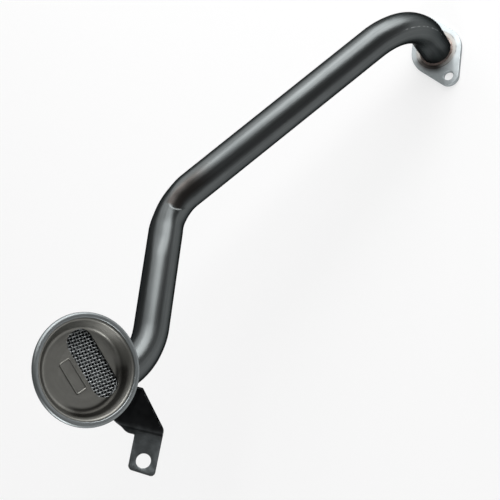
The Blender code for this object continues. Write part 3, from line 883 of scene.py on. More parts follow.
@dataclass
class BendTable:
    """The tube's route as its bender lists it: a run, a turn of the bend's plane, then a bend."""

    runs: tuple[float, ...] = (24.8 * MM, 155.5 * MM, 65.1 * MM)
    twists: tuple[float, ...] = (-68.6, 85.5, 131.6)
    bends: tuple[float, ...] = (75.5, 45.9, 62.0)
    last_run: float = 17.0 * MM
    bend_radius: float = 44.45 * MM
    flattening: tuple[float, ...] = (0.07, 0.07, 0.04)
    bulge_share: float = 0.4
    onset: float = 0.30

    def length(self) -> float:
        """The centre line's whole length."""
        return sum(self.runs) + self.last_run + math.radians(sum(self.bends)) * self.bend_radius

    def station(self, along: float) -> Station:
        """Find a station on the centre line.

        Args:
            along: Its distance from the mouth.

        Returns:
            The station.
        """
        place = Vector((0.0, 0.0, 0.0))
        heading = Vector((0.0, 0.0, 1.0))
        side = Vector((1.0, 0.0, 0.0))
        left = along
        for run, twist, degrees, flattening in zip(self.runs, self.twists, self.bends, self.flattening):
            if left <= run:
                return Station(along, place + heading * left, heading, side, 0.0)
            left -= run
            place = place + heading * run
            side = Matrix.Rotation(math.radians(twist), 3, heading) @ side
            bend = math.radians(degrees)
            angle = min(bend, left / self.bend_radius)
            centre = place + side * self.bend_radius
            ahead = heading * math.cos(angle) + side * math.sin(angle)
            inward = side * math.cos(angle) - heading * math.sin(angle)
            place, heading, side = centre - inward * self.bend_radius, ahead, inward
            if angle < bend:
                squeeze = flattening * smooth_step(0.0, self.onset, min(angle, bend - angle) / bend)
                return Station(along, place, heading, side, squeeze)
            left -= bend * self.bend_radius
        return Station(along, place + heading * left, heading, side, 0.0)

    def stations(self, step: float, start: float = 0.0, close: Flat = (0.0, 0.0)) -> list[Station]:
        """List stations from start to the end.

        Args:
            step: The longest step between them.
            start: Where the list starts.
            close: A stretch where the steps are four times shorter.

        Returns:
            The stations.
        """
        found: list[Station] = []
        along = start
        end = self.length()
        while along < end - 0.25 * step:
            found.append(self.station(along))
            along += step / 4 if close[0] < along < close[1] else step
        found.append(self.station(end))
        return found

    def rings(self, stations: Sequence[Station], radius: Callable[[Station, Vector], float],
              sides: int) -> list[Ring]:
        """Draw rings round the centre line, their frame carried along without twisting.

        Args:
            stations: The stations.
            radius: The radius at a station in a direction.
            sides: How many points each ring has.

        Returns:
            One ring for each station.
        """
        rings: list[Ring] = []
        across = Vector((1.0, 0.0, 0.0))
        for station in stations:
            across = (across - station.heading * across.dot(station.heading)).normalized()
            other = station.heading.cross(across)
            ring: Ring = []
            for i in range(sides):
                angle = 2 * math.pi * i / sides
                spoke = across * math.cos(angle) + other * math.sin(angle)
                in_plane = station.side * spoke.dot(station.side)
                bulged = (spoke - in_plane) * (1 + self.bulge_share * station.squeeze)
                shaped = in_plane * (1 - station.squeeze) + bulged
                ring.append(station.place + shaped * radius(station, spoke))
            rings.append(ring)
        return rings


@dataclass
class BentTube:
    """The steel tube: its wall, its eased ends and the step that the bend die pressed into it."""

    route: BendTable
    radius: float = 11.1 * MM
    wall: float = 1.6 * MM
    sides: int = 72
    step: float = 1.5 * MM
    chamfer: float = 0.3 * MM
    die_edge: float = 259.7 * MM
    die_bow: float = 6.2 * MM
    die_depth: float = 0.95 * MM
    die_reach: float = 30.0 * MM
    die_middle: float = 8.0
    die_span: float = 55.0
    die_bow_middle: float = 6.0
    die_bow_span: float = 40.0
    die_ease: float = 4.0 * MM
    die_lip: float = 0.9 * MM
    flat_from: float = 245.0 * MM
    flat_to: float = 296.0 * MM
    flat_onset: float = 27.0 * MM
    flat_fade: float = 16.0 * MM
    flat_depth: float = 1.0 * MM
    flat_middle: float = -20.0
    flat_reach: float = 50.0
    close_stretch: Flat = (250 * MM, 262 * MM)
    rod_from: float = 330.0 * MM
    rod_step: float = 3.0 * MM

    def pressed(self, station: Station, spoke: Vector) -> float:
        """How deep the die pressed the wall, at a station in a direction."""
        if not self.die_edge - self.die_reach - 3 * self.die_bow < station.along < self.flat_to:
            return 0.0
        lateral = MARKED_SIDE.cross(station.heading).normalized()
        towards = station.heading.cross(lateral)
        angle = math.degrees(math.atan2(spoke.dot(lateral), spoke.dot(towards)))
        edge = self.die_edge - self.die_bow * ((angle - self.die_bow_middle) / self.die_bow_span) ** 2
        rise = smooth_step(edge - self.die_reach, edge - self.die_ease, station.along)
        fall = smooth_step(edge + self.die_lip, edge, station.along)
        held = min(1.0, abs(angle - self.die_middle) / self.die_span)
        before = self.die_depth * rise * (1 - held ** 2) ** 2
        across = min(1.0, abs(angle - self.flat_middle) / self.flat_reach)
        start = smooth_step(self.flat_from, self.flat_from + self.flat_onset, station.along)
        end = smooth_step(self.flat_to, self.flat_to - self.flat_fade, station.along)
        after = self.flat_depth * start * end * (1 - across ** 2) ** 2
        return before * fall + after * (1 - fall)

    def outside(self, station: Station, spoke: Vector) -> float:
        """The outer radius at a station in a direction."""
        end = self.chamfer if station.along < TINY else 0.0
        return self.radius - end - self.pressed(station, spoke)

    def build(self, dresser: Dresser) -> None:
        """Build and dress the tube."""
        stations = self.route.stations(self.step, close=self.close_stretch)
        stations.insert(1, self.route.station(self.chamfer))
        bore = self.radius - self.wall
        outer = self.route.rings(stations, self.outside, self.sides)
        inside = stations[::4] + [stations[-1]]
        inner = self.route.rings(inside, lambda *_: bore, self.sides)
        lengths = [station.along for station in stations + inside[::-1]]
        shell = Shell().loft(outer + inner[::-1], closed=True, girth=2 * math.pi * self.radius,
                             lengths=lengths)
        tube = shell.piece("bent_tube")
        Workbench.shade(tube, angle=50.0)
        dresser.dress(tube, TUBE_STEEL, "pickup_tube")

    def rod(self, name: str, grow: float) -> bpy.types.Object:
        """A solid rod along the tube's last stretch, larger than the tube by the given amount."""
        stations = self.route.stations(self.rod_step, self.rod_from)
        rings = self.route.rings(stations, lambda *_: self.radius + grow, self.sides)
        return Shell().loft(rings).piece(name)


@dataclass
class PumpFlange:
    """The two-bolt plate at the tube's mouth, and the braze that holds the tube in it."""

    tube: BentTube
    thickness: float = 3.2 * MM
    edge: float = 0.45 * MM
    hole_edge: float = 0.25 * MM
    bolt_spacing: float = 47.0 * MM
    bolt_hole: float = 3.5 * MM
    hole_segments: int = 96
    ear: float = 7.3 * MM
    rim: float = 7.2 * MM
    braze_width: float = 1.15 * MM
    braze_height: float = 1.3 * MM
    braze_overlap: float = 0.15 * MM
    braze_land: float = 0.45 * MM
    braze_crest: float = 0.35 * MM
    braze_sunk: float = 0.05 * MM
    braze_segments: int = 144
    foot_from: float = 0.4 * MM
    foot_wander: float = 0.45 * MM
    foot_ripple: float = 0.12 * MM
    wander_scale: float = 1.7
    ripple_scale: float = 4.1

    def outline(self) -> list[Flat]:
        """The plate's outline: a round belly, an ear at each bolt and straight tangents between."""
        belly = self.tube.radius + self.rim
        reach = self.bolt_spacing / 2
        tilt = math.pi / 2 - math.asin((belly - self.ear) / reach)
        points = arc_points((reach, 0.0), self.ear, -tilt, tilt, 36)
        points += arc_points((0.0, 0.0), belly, tilt, math.pi - tilt, 24)
        points += arc_points((-reach, 0.0), self.ear, math.pi - tilt, math.pi + tilt, 36)
        return points + arc_points((0.0, 0.0), belly, math.pi + tilt, 2 * math.pi - tilt, 24)

    def plate(self) -> bpy.types.Object:
        """The plate with eased edges and its three holes."""
        made = Shell().extrude(self.outline(), 0.0, self.thickness).piece("flange_plate")
        Workbench.ease(made, self.edge)
        edge, top = self.hole_edge, self.thickness
        holes = ((0.0, self.tube.radius + CLEARANCE), (self.bolt_spacing / 2, self.bolt_hole),
                 (-self.bolt_spacing / 2, self.bolt_hole))
        for x, radius in holes:
            section = [(0.0, -edge), (radius + 2 * edge, -edge), (radius + edge, 0.0), (radius, edge),
                       (radius, top - edge), (radius + edge, top), (radius + 2 * edge, top + edge),
                       (0.0, top + edge)]
            tool = Shell().revolve(section, self.hole_segments)
            tool = tool.piece("hole_tool", Matrix.Translation((x, 0.0, 0.0)))
            Workbench.carve(made, tool, Operation.REMOVE)
        return made

    def braze(self) -> bpy.types.Object:
        """The uneven fillet of braze round the tube, on top of the plate."""
        inner, width, height = self.tube.radius - self.braze_overlap, self.braze_width, self.braze_height
        outer = inner + self.braze_land + width
        bottom = self.thickness - self.braze_sunk
        section = [(inner, bottom), (outer, bottom)]
        for i in range(1, 12):
            angle = math.pi / 2 * i / 12
            section.append((outer - width * math.sin(angle), bottom + height * (1 - math.cos(angle))))
        section += [(inner + self.braze_crest, bottom + height), (inner, bottom + height)]

        def wobble(point: Flat, angle: float) -> float:
            """Let the fillet's foot run further out in some places than in others."""
            if point[0] < inner + self.foot_from:
                return 0.0
            place = Vector((math.cos(angle), math.sin(angle), point[1] / height)) * self.wander_scale
            ripple = self.foot_ripple * noise.noise(place * self.ripple_scale)
            return self.foot_wander * noise.noise(place) + ripple

        return Shell().revolve(section, self.braze_segments, wobble).piece("flange_braze_run")

    def build(self, dresser: Dresser) -> None:
        """Build and dress the plate and its braze."""
        plate, braze = self.plate(), self.braze()
        Workbench.shade(plate, angle=30.0)
        Workbench.shade(braze, angle=60.0)
        dresser.dress(plate, FLANGE_STEEL, "mounting_flange")
        dresser.dress(braze, BRAZE, "flange_braze")


@dataclass
class InletPlan:
    """The sizes that the bell, the cover and the screen share, turned about the bell's axis."""

    tube: BentTube
    rim_radius: float = 32.9 * MM
    lip: float = 3.4 * MM
    wall: float = 1.0 * MM
    gap: float = 0.3 * MM
    shoulder: float = 2.6 * MM
    height: float = 40.2 * MM
    taper: float = 21.0
    bottom_round: float = 9.0 * MM
    cover_thickness: float = 1.0 * MM
    cover_depth: float = 9.2 * MM
    screen_drop: float = 1.1 * MM
    screen_thickness: float = 1.0 * MM
    tube_to_screen: float = 0.4 * MM
    short_of_axis: float = 6.1 * MM
    rim_to_tube_axis: float = 24.05 * MM
    lean: float = 5.9
    roll: float = -94.6
    segments: int = 160
    tool_segments: int = 144
    hem: float = field(init=False)
    neck_radius: float = field(init=False)
    bottom_radius: float = field(init=False)
    screen_top: float = field(init=False)
    place: Matrix = field(init=False)

    def __post_init__(self) -> None:
        """Work out what follows from the driving sizes."""
        self.hem = 2 * self.wall + self.cover_thickness + 2 * self.gap
        self.neck_radius = self.rim_radius - self.shoulder
        drop = (self.height - self.hem) * math.tan(math.radians(self.taper))
        self.bottom_radius = self.neck_radius - drop
        self.screen_top = self.cover_depth + self.cover_thickness + self.screen_drop
        self.place = self.find_place()

    def find_place(self) -> Matrix:
        """Where the bell sits on the tube's end: z out of the inlet, x onward along the tube."""
        end = self.tube.route.station(self.tube.route.length())
        third = end.heading.cross(end.side)
        lean, roll = math.radians(self.lean), math.radians(self.roll)
        upright = end.side * math.cos(roll) + third * math.sin(roll)
        face = end.heading * math.sin(lean) + upright * math.cos(lean)
        onward = (end.heading - face * end.heading.dot(face)).normalized()
        beside = face.cross(onward)
        depth = self.screen_top + self.screen_thickness + self.tube_to_screen + self.tube.radius
        past_tube = beside * (self.rim_radius - self.rim_to_tube_axis)
        centre = end.place + face * depth + onward * self.short_of_axis - past_tube
        return Matrix.Translation(centre) @ axes_matrix(onward, beside, face)

    def bell_curve(self, offset: float) -> list[Flat]:
        """The bell's curve from its shoulder to its crown, moved out by the offset."""
        corners = [(self.neck_radius, -self.hem, 0.0),
                   (self.bottom_radius, -self.height, self.bottom_round), (0.0, -self.height, 0.0)]
        rounded = round_corners(corners, steps=20, closed=False)
        (wide, above), (narrow, below) = rounded[:2]
        straight = [(wide + (narrow - wide) * i / 12, above + (below - above) * i / 12) for i in range(12)]
        return offset_curve(straight + rounded[1:], offset)

    def envelope(self, name: str, grow: float) -> bpy.types.Object:
        """The bell's outside as a plain solid, grown by the given amount."""
        section = self.bell_curve(grow)[::-1]
        section[-1] = (self.neck_radius + grow, -self.hem - grow)
        section += [(self.rim_radius + grow, -self.hem - grow), (self.rim_radius + grow, grow), (0.0, grow)]
        return Shell().revolve(section, self.tool_segments).piece(name, self.place)

    def screen_radius(self) -> float:
        """The radius of the bell's inside at the screen."""
        inner = self.bell_curve(-self.wall)
        depth = self.screen_top + self.screen_thickness
        for (wide, above), (narrow, below) in zip(inner, inner[1:]):
            if below <= -depth <= above:
                return wide + (narrow - wide) * (above + depth) / (above - below) - self.gap
        raise ValueError("the screen lies outside the bell")


@dataclass
class InletBell:
    """The drawn bell with its rolled rim, and the collar of braze where the tube enters it."""

    plan: InletPlan
    collar_width: float = 2.4 * MM
    collar_height: float = 2.2 * MM
    collar_grain: float = 0.35 * MM
    collar_passes: int = 14
    collar_unevenness: float = 0.25 * MM
    lip_flat: float = 1.7 * MM
    lip_turn: float = 0.15 * MM
    lip_round: float = 0.75 * MM
    crimp: float = 0.16 * MM
    crimp_count: int = 38
    crimp_reach: float = 2.2 * MM
    crimp_depth: float = 1.3 * MM
    wave_share: float = 0.55
    drift_share: float = 1.2
    drift_scale: float = 2.3

    def section(self) -> list[Flat]:
        """The sheet's section, from the crown outside, over the rolled rim and back inside."""
        plan = self.plan
        roll = plan.hem / 2
        centre = (plan.rim_radius - roll, -roll)
        lip = plan.rim_radius - plan.lip
        inner = plan.bell_curve(-plan.wall)
        points = plan.bell_curve(0.0)[::-1]
        points.append((plan.neck_radius + 0.5 * (plan.rim_radius - roll - plan.neck_radius), -plan.hem))
        points += arc_points(centre, roll, -math.pi / 2, math.pi / 2, 28)
        points += round_corners([(lip + self.lip_flat, 0.0, 0.0), (lip, -self.lip_turn, self.lip_round),
                                 (lip, -plan.wall, 0.0)], steps=10, closed=False)
        points += arc_points(centre, roll - plan.wall, math.pi / 2, -math.pi / 2, 10)
        points += [(inner[0][0], -plan.hem + plan.wall)]
        return points + inner

    def wobble(self, point: Flat, angle: float) -> float:
        """The rolled lip's slight waves, where the tool pressed it down over the cover."""
        lip = self.plan.rim_radius - self.plan.lip
        if point[1] < -self.crimp_depth:
            return 0.0
        near = smooth_step(lip + self.crimp_reach, lip, point[0])
        strength = 0.5 + 0.5 * math.sin(5 * angle + 1.0)
        waves = math.sin(self.crimp_count * angle + 2.0 * math.sin(3 * angle)) * strength
        drift = noise.noise(Vector((math.cos(angle), math.sin(angle), 0.3)) * self.drift_scale)
        return near * self.crimp * (self.wave_share * waves + self.drift_share * drift)

    def build(self, dresser: Dresser) -> None:
        """Build and dress the bell and its collar."""
        plan = self.plan
        bell = Shell().revolve(self.section(), plan.segments, self.wobble).piece("inlet_bell", plan.place)
        Workbench.carve(bell, plan.tube.rod("entry_tool", CLEARANCE), Operation.REMOVE)
        Workbench.shade(bell, angle=45.0)
        dresser.dress(bell, BELL_STEEL, "screen_housing")
        collar = plan.tube.rod("entry_braze", self.collar_width)
        Workbench.carve(collar, plan.envelope("reach_tool", self.collar_height), Operation.KEEP_SHARED)
        Workbench.carve(collar, plan.envelope("bell_tool", -CLEARANCE), Operation.REMOVE)
        Workbench.carve(collar, plan.tube.rod("tube_tool", -CLEARANCE), Operation.REMOVE)
        Workbench.melt(collar, self.collar_grain, self.collar_passes, self.collar_unevenness)
        Workbench.shade(collar, angle=180.0)
        dresser.dress(collar, BRAZE, "housing_braze")


@dataclass
class DishedCover:
    """The dished plate in the bell's mouth, with the inlet slot and a plain raised frame."""

    plan: InletPlan
    shoulder: float = 4.5 * MM
    shoulder_round: float = 1.5 * MM
    wall_run: float = 4.1 * MM
    floor_round: float = 3.0 * MM
    slot_length: float = 43.0 * MM
    slot_width: float = 16.6 * MM
    slot_corner: float = 7.4 * MM
    slot_offset: float = 8.1 * MM
    slot_angle: float = 109.0
    slot_edge: float = 0.45 * MM
    slot_top: float = -0.5 * MM
    frame_length: float = 20.0 * MM
    frame_width: float = 7.0 * MM
    frame_offset: float = -6.2 * MM
    frame_corner: float = 1.1 * MM
    ridge_width: float = 1.2 * MM
    ridge_height: float = 0.45 * MM
    ridge_root: float = 0.3 * MM
    ridge_sunk: float = 0.02 * MM
    pressed_in: float = 0.15 * MM

    def turn(self) -> Matrix:
        """The rotation from the slot's own axes to the bell's."""
        return Matrix.Rotation(math.radians(self.slot_angle), 4, 'Z')

    def dish(self) -> bpy.types.Object:
        """The plate, pressed to its dish."""
        plan = self.plan
        top = -plan.wall - plan.gap + self.pressed_in
        wall_top = plan.rim_radius - self.shoulder
        corners = [(plan.rim_radius - plan.wall - plan.gap, top, 0.0), (wall_top, top, self.shoulder_round),
                   (wall_top - self.wall_run, -plan.cover_depth, self.floor_round),
                   (0.0, -plan.cover_depth, 0.0)]
        curve = round_corners(corners, steps=14, closed=False)
        floor = [(curve[-2][0] * (1 - i / 9), -plan.cover_depth) for i in range(1, 9)]
        curve = curve[:-1] + floor + [curve[-1]]
        section = offset_curve(curve, plan.cover_thickness)[::-1] + curve
        return Shell().revolve(section, plan.segments).piece("dished_cover", plan.place)

    def slot_tool(self) -> bpy.types.Object:
        """The slot as a solid."""
        corners = rectangle(self.slot_length / 2, self.slot_width / 2, self.slot_offset, self.slot_corner)
        depth = self.plan.cover_depth + self.plan.cover_thickness
        solid = Shell().extrude(round_corners(corners, steps=24), -2 * depth, self.slot_top)
        return solid.piece("slot_tool", self.plan.place @ self.turn())

    def ridge(self) -> bpy.types.Object:
        """The raised frame as one closed ridge with a half-round back."""
        half_length, half_width = self.frame_length / 2, self.frame_width / 2
        floor = -self.plan.cover_depth
        rings: list[Ring] = []
        profile = [(self.ridge_width / 2, floor - self.ridge_root)]
        for i in range(7):
            angle = math.pi * i / 6
            profile.append((self.ridge_width / 2 * math.cos(angle),
                            floor - self.ridge_sunk + self.ridge_height * math.sin(angle)))
        profile.append((-self.ridge_width / 2, floor - self.ridge_root))
        for out, height in profile:
            corners = rectangle(half_length + out, half_width + out, self.frame_offset,
                                self.frame_corner + out)
            rings.append([Vector((x, y, height)) for x, y in round_corners(corners, steps=6)])
        return Shell().loft(rings, closed=True).piece("frame_ridge", self.plan.place @ self.turn())

    def build(self, dresser: Dresser) -> None:
        """Build and dress the cover."""
        cover = self.dish()
        Workbench.carve(cover, self.slot_tool(), Operation.REMOVE)
        Workbench.ease(cover, self.slot_edge, angle=60.0)
        Workbench.carve(cover, self.ridge(), Operation.ADD)
        Workbench.shade(cover, angle=35.0)
        dresser.dress(cover, COVER_STEEL, "inlet_cover")


@dataclass
class WovenScreen:
    """The plain-woven wire screen under the slot, with its flattened edge ring."""

    plan: InletPlan
    pitch: float = 1.97 * MM
    weft: float = 0.44 * MM
    warp: float = 0.28 * MM
    weft_crimp: float = 0.62
    warp_crimp: float = -0.38
    weave_angle: float = 5.5
    sides: int = 6
    steps: int = 4
    ring_width: float = 1.8 * MM
    ring_edge: float = 0.2 * MM
    ring_segments: int = 96
    short_of_ring: float = 0.5 * MM

    def wire_rings(self, number: int, reach: float, level: float, wire: float,
                   crimp: float) -> list[Ring]:
        """The rings of one wire that lies along X.

        Args:
            number: Which wire it is, counted from the middle.
            reach: The screen's radius.
            level: The height of the screen's middle layer.
            wire: The wire's radius.
            crimp: How far it waves up and down over the wires that it crosses.

        Returns:
            The rings.
        """
        aside = number * self.pitch
        half = math.sqrt(reach * reach - aside * aside)
        count = math.ceil(2 * half / (self.pitch / self.steps))
        rings: list[Ring] = []
        for i in range(count + 1):
            x = -half + 2 * half * i / count
            phase = math.pi * (x / self.pitch + number)
            height = level + crimp * math.cos(phase)
            slope = -crimp * math.pi / self.pitch * math.sin(phase)
            up = Vector((-slope, 0.0, 1.0)).normalized()
            ring: Ring = []
            for k in range(self.sides):
                angle = 2 * math.pi * k / self.sides
                spoke = Vector((0.0, math.cos(angle), 0.0)) + up * math.sin(angle)
                ring.append(Vector((x, aside, height)) + spoke * wire)
            rings.append(ring)
        return rings

    def build(self, dresser: Dresser) -> None:
        """Build and dress the screen."""
        plan = self.plan
        reach = plan.screen_radius() - self.short_of_ring
        level = -plan.screen_top - plan.screen_thickness / 2
        shell = Shell()
        last = math.floor((reach - self.weft) / self.pitch)
        quarter = Matrix.Rotation(math.pi / 2, 3, 'Z')
        mirror = Matrix.Diagonal((-1.0, 1.0, 1.0))
        stacked = self.weft + self.warp
        for number in range(-last, last + 1):
            crimped = self.wire_rings(number, reach, level, self.weft, self.weft_crimp * stacked)
            shell.loft(crimped, girth=2 * math.pi * self.weft)
            straight = self.wire_rings(number, reach, level, self.warp, self.warp_crimp * stacked)
            shell.loft([[quarter @ mirror @ point for point in ring] for ring in straight],
                       girth=2 * math.pi * self.warp)
        outer = plan.screen_radius()
        half = plan.screen_thickness / 2
        inner, low, high = outer - self.ring_width, level - half, level + half
        corners = ((inner, low), (outer, low), (outer, high), (inner, high))
        edge = round_corners([(*corner, self.ring_edge) for corner in corners], steps=3)
        shell.revolve(edge, self.ring_segments)
        turn = Matrix.Rotation(math.radians(self.weave_angle), 4, 'Z')
        screen = shell.piece("woven_screen", plan.place @ turn)
        Workbench.shade(screen, angle=70.0)
        dresser.dress(screen, WIRE_STEEL, "screen_mesh")


@dataclass
class FoldedBracket:
    """The folded strap with its stud hole, and the weld that holds it to the bell."""

    plan: InletPlan
    thickness: float = 2.5 * MM
    fold_angle: float = 32.0
    fold_radius: float = 3.0 * MM
    fold_strips: int = 12
    width: float = 16.4 * MM
    shift: float = 0.6 * MM
    tab_length: float = 24.3 * MM
    tab_skew: float = 3.6
    tab_corner: float = 2.6 * MM
    hole_radius: float = 4.5 * MM
    hole_from_end: float = 7.2 * MM
    web_length: float = 25.8 * MM
    web_shoulder: float = 3.4 * MM
    web_lean: float = 17.2 * MM
    web_reach: float = 40.0 * MM
    lobe_depth: float = 3.2 * MM
    lobe_reach: float = 12.4 * MM
    lobe_slope: float = 32.3
    lobe_round: float = 7.0 * MM
    edge: float = 0.3 * MM
    fold_place: Vector = field(default_factory=lambda: Vector((-35.1, 45.15, -15.6)) * MM)
    fold_direction: Vector = field(default_factory=lambda: Vector((-0.729, 0.452, 0.514)))
    web_face: Vector = field(default_factory=lambda: Vector((0.653, 0.233, 0.721)))
    collar_width: float = 2.4 * MM
    weld_size: float = 1.9 * MM
    weld_grain: float = 0.35 * MM
    weld_passes: int = 12
    weld_unevenness: float = 0.3 * MM

    def outline(self) -> list[Flat]:
        """The strap drawn flat: x along the fold, y up the web and down the tab."""
        half = self.width / 2
        skew = math.tan(math.radians(self.tab_skew))
        right, left = self.shift + half, self.shift - half
        rise = (self.web_reach - self.lobe_reach) * math.tan(math.radians(self.lobe_slope))
        corners = [(left + self.tab_length * skew, -self.tab_length + half * skew, self.tab_corner),
                   (right + self.tab_length * skew, -self.tab_length - half * skew, self.tab_corner),
                   (right, self.web_shoulder, 2 * self.tab_corner),
                   (right - self.web_lean, self.web_length, 0.4 * self.tab_corner),
                   (-self.web_reach, self.web_length, 0.0),
                   (-self.web_reach, rise - self.lobe_depth, 0.0),
                   (-self.lobe_reach, -self.lobe_depth, self.lobe_round),
                   (left + self.lobe_depth * skew, -self.lobe_depth, 0.4 * self.tab_corner)]
        return round_corners(corners, steps=12)

    def folded(self, point: Vector, height: float) -> Vector:
        """Carry a flat point to the folded strap, at a height above its middle layer."""
        radius = self.fold_radius + self.thickness / 2
        angle = math.radians(self.fold_angle)
        half_zone = radius * angle / 2
        if point.y >= half_zone:
            return Vector((point.x, point.y, height))
        turned = min(half_zone - point.y, 2 * half_zone) / radius
        straight = max(0.0, -point.y - half_zone)
        reach = radius - height
        return Vector((point.x, half_zone - reach * math.sin(turned) - straight * math.cos(turned),
                       radius - reach * math.cos(turned) + straight * math.sin(turned)))

    def place(self) -> Matrix:
        """The strap's frame: x along the fold, y up the web, z out of the web's face."""
        along = self.fold_direction.normalized()
        face = (self.web_face - along * self.web_face.dot(along)).normalized()
        up = face.cross(along)
        half = self.thickness / 2
        behind = Matrix.Translation((0.0, -half * math.tan(math.radians(self.fold_angle) / 2), -half))
        return self.plan.place @ Matrix.Translation(self.fold_place) @ axes_matrix(along, up, face) @ behind

    def sheet(self, name: str, thickness: float, with_hole: bool) -> bpy.types.Object:
        """The folded sheet.

        Args:
            name: The piece's name.
            thickness: Its thickness.
            with_hole: Whether it has its stud hole.

        Returns:
            The object.
        """
        loops = [self.outline()]
        if with_hole:
            down = self.tab_length - self.hole_from_end
            centre = (self.shift + down * math.tan(math.radians(self.tab_skew)), -down)
            loops.append(arc_points(centre, self.hole_radius, 0.0, 2 * math.pi, 72)[:-1])
        flat = bmesh.new()
        for loop in loops:
            verts = [flat.verts.new((x, y, 0.0)) for x, y in loop]
            for first, second in zip(verts, verts[1:] + verts[:1]):
                flat.edges.new((first, second))
        bmesh.ops.triangle_fill(flat, use_beauty=True, edges=flat.edges)
        zone = (self.fold_radius + self.thickness / 2) * math.radians(self.fold_angle) / 2
        for i in range(self.fold_strips + 1):
            cut = zone * (2 * i / self.fold_strips - 1)
            bmesh.ops.bisect_plane(flat, geom=[*flat.verts, *flat.edges, *flat.faces],
                                   plane_co=(0.0, cut, 0.0), plane_no=(0.0, 1.0, 0.0), dist=TINY)
        shell = Shell()
        upper = {v: shell.build.verts.new(self.folded(v.co, thickness / 2)) for v in flat.verts}
        lower = {v: shell.build.verts.new(self.folded(v.co, -thickness / 2)) for v in flat.verts}
        for face in flat.faces:
            shell.add_face([(upper[v], tuple(v.co.xy)) for v in face.verts])
            shell.add_face([(lower[v], tuple(v.co.xy)) for v in reversed(face.verts)])
        for edge in flat.edges:
            if len(edge.link_faces) == 1:
                first, second = edge.verts
                length = edge.calc_length()
                shell.add_face([(upper[first], (0.0, 0.0)), (upper[second], (0.0, length)),
                                (lower[second], (thickness, length)), (lower[first], (thickness, 0.0))])
        flat.free()
        return shell.piece(name, self.place())

    def build(self, dresser: Dresser) -> None:
        """Build and dress the strap and its weld."""
        plan = self.plan
        strap = self.sheet("folded_bracket", self.thickness, True)
        Workbench.carve(strap, plan.envelope("bell_tool", CLEARANCE), Operation.REMOVE)
        Workbench.carve(strap, plan.tube.rod("tube_tool", 2 * CLEARANCE), Operation.REMOVE)
        Workbench.ease(strap, self.edge, angle=45.0)
        Workbench.shade(strap, angle=35.0)
        dresser.dress(strap, BRACKET_STEEL, "support_bracket")
        weld = self.sheet("bracket_weld", self.thickness + 2 * self.weld_size, False)
        Workbench.carve(weld, plan.envelope("reach_tool", self.weld_size), Operation.KEEP_SHARED)
        Workbench.carve(weld, plan.envelope("bell_tool", -CLEARANCE), Operation.REMOVE)
        Workbench.carve(weld, plan.tube.rod("tube_tool", self.collar_width), Operation.REMOVE)
        Workbench.melt(weld, self.weld_grain, self.weld_passes, self.weld_unevenness)
        Workbench.shade(weld, angle=180.0)
        dresser.dress(weld, BELL_STEEL)


@dataclass(frozen=True)
class Lamp:
    """A soft lamp, wide and tall by its size."""

    name: str
    place: Triple
    size: Flat
    power: float


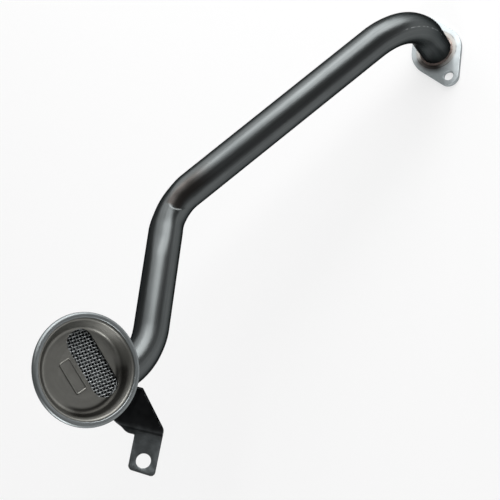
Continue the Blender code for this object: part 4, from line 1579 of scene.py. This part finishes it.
@dataclass(frozen=True)
class Studio:
    """The pale floor, the three soft lamps, the grey surroundings and the picture's camera."""

    centre: Triple = (0.12, -0.12, 0.09)
    floor_level: float = -0.3 * MM
    floor_reach: float = 40.0
    floor_colour: Colour = (0.24, 0.24, 0.24)
    floor_lift: float = 0.69
    lamps: tuple[Lamp, ...] = (
        Lamp("key_lamp", (-0.579, 0.604, 0.7435), size=(1.0, 1.5), power=22.0),
        Lamp("fill_lamp", (-0.850, -0.086, 0.795), size=(0.9, 1.3), power=6.5),
        Lamp("side_lamp", (1.379, -0.707, 0.385), size=(0.6, 0.35), power=12.0))
    surroundings: float = 0.15
    camera_place: Triple = (0.42919, 0.05006, 0.68933)
    camera_right: Triple = (0.2943, 0.8484, -0.4400)
    camera_up: Triple = (-0.8479, 0.4442, 0.2893)
    lens: float = 79.2
    sensor: float = 36.0

    def floor(self) -> None:
        """The pale floor, which still takes the object's shadow."""
        build = bmesh.new()
        build.faces.new([build.verts.new((x, y, self.floor_level))
                         for x, y, _ in rectangle(self.floor_reach, self.floor_reach)])
        mesh = bpy.data.meshes.new("studio_floor")
        build.to_mesh(mesh)
        build.free()
        floor = put_in_scene("studio_floor", mesh)
        material, graph, shader = open_material("pale_floor")
        shader.inputs["Base Color"].default_value = (*self.floor_colour, 1.0)
        shader.inputs["Roughness"].default_value = 0.9
        shader.inputs["Specular IOR Level"].default_value = 0.0
        shader.inputs["Emission Color"].default_value = (1.0, 1.0, 1.0, 1.0)
        rays = graph.add("ShaderNodeLightPath").outputs
        seen = graph.reckon('MAXIMUM', rays["Is Camera Ray"], rays["Is Glossy Ray"])
        seen = graph.reckon('MAXIMUM', seen, rays["Is Transmission Ray"])
        graph.feed(shader.inputs["Emission Strength"], graph.times(seen, self.floor_lift))
        mesh.materials.append(material)

    def hang(self, lamp: Lamp) -> None:
        """Put up a lamp, so that it faces the object."""
        light = bpy.data.lights.new(lamp.name, 'AREA')
        light.shape = 'RECTANGLE'
        light.size, light.size_y = lamp.size
        light.energy = lamp.power
        made = put_in_scene(lamp.name, light)
        made.location = lamp.place
        towards = Vector(self.centre) - Vector(lamp.place)
        made.rotation_euler = towards.to_track_quat('-Z', 'Y').to_euler()

    def camera(self) -> None:
        """The camera at the photograph's angle."""
        across = Vector(self.camera_right)
        back = across.cross(Vector(self.camera_up)).normalized()
        up = back.cross(across).normalized()
        right = up.cross(back)
        data = bpy.data.cameras.new("studio_camera")
        data.lens = self.lens
        data.sensor_width = self.sensor
        data.clip_start = 0.01
        made = put_in_scene("studio_camera", data)
        made.matrix_world = Matrix.Translation(self.camera_place) @ axes_matrix(right, up, back)
        bpy.context.scene.camera = made

    def build(self) -> None:
        """Set up the whole studio."""
        world = bpy.data.worlds.new("studio")
        world.use_nodes = True
        ground = world.node_tree.nodes["Background"]
        ground.inputs["Color"].default_value = (1.0, 1.0, 1.0, 1.0)
        ground.inputs["Strength"].default_value = self.surroundings
        scene = bpy.context.scene
        scene.world = world
        scene.view_settings.view_transform = 'Standard'
        self.floor()
        for lamp in self.lamps:
            self.hang(lamp)
        self.camera()


def main() -> None:
    """Build the pieces in order, then the studio."""
    dresser = Dresser(Effects())
    tube = BentTube(BendTable())
    plan = InletPlan(tube)
    for assembly in (tube, PumpFlange(tube), InletBell(plan), DishedCover(plan), WovenScreen(plan),
                     FoldedBracket(plan)):
        assembly.build(dresser)
    Studio().build()


if __name__ == "__main__":
    main()
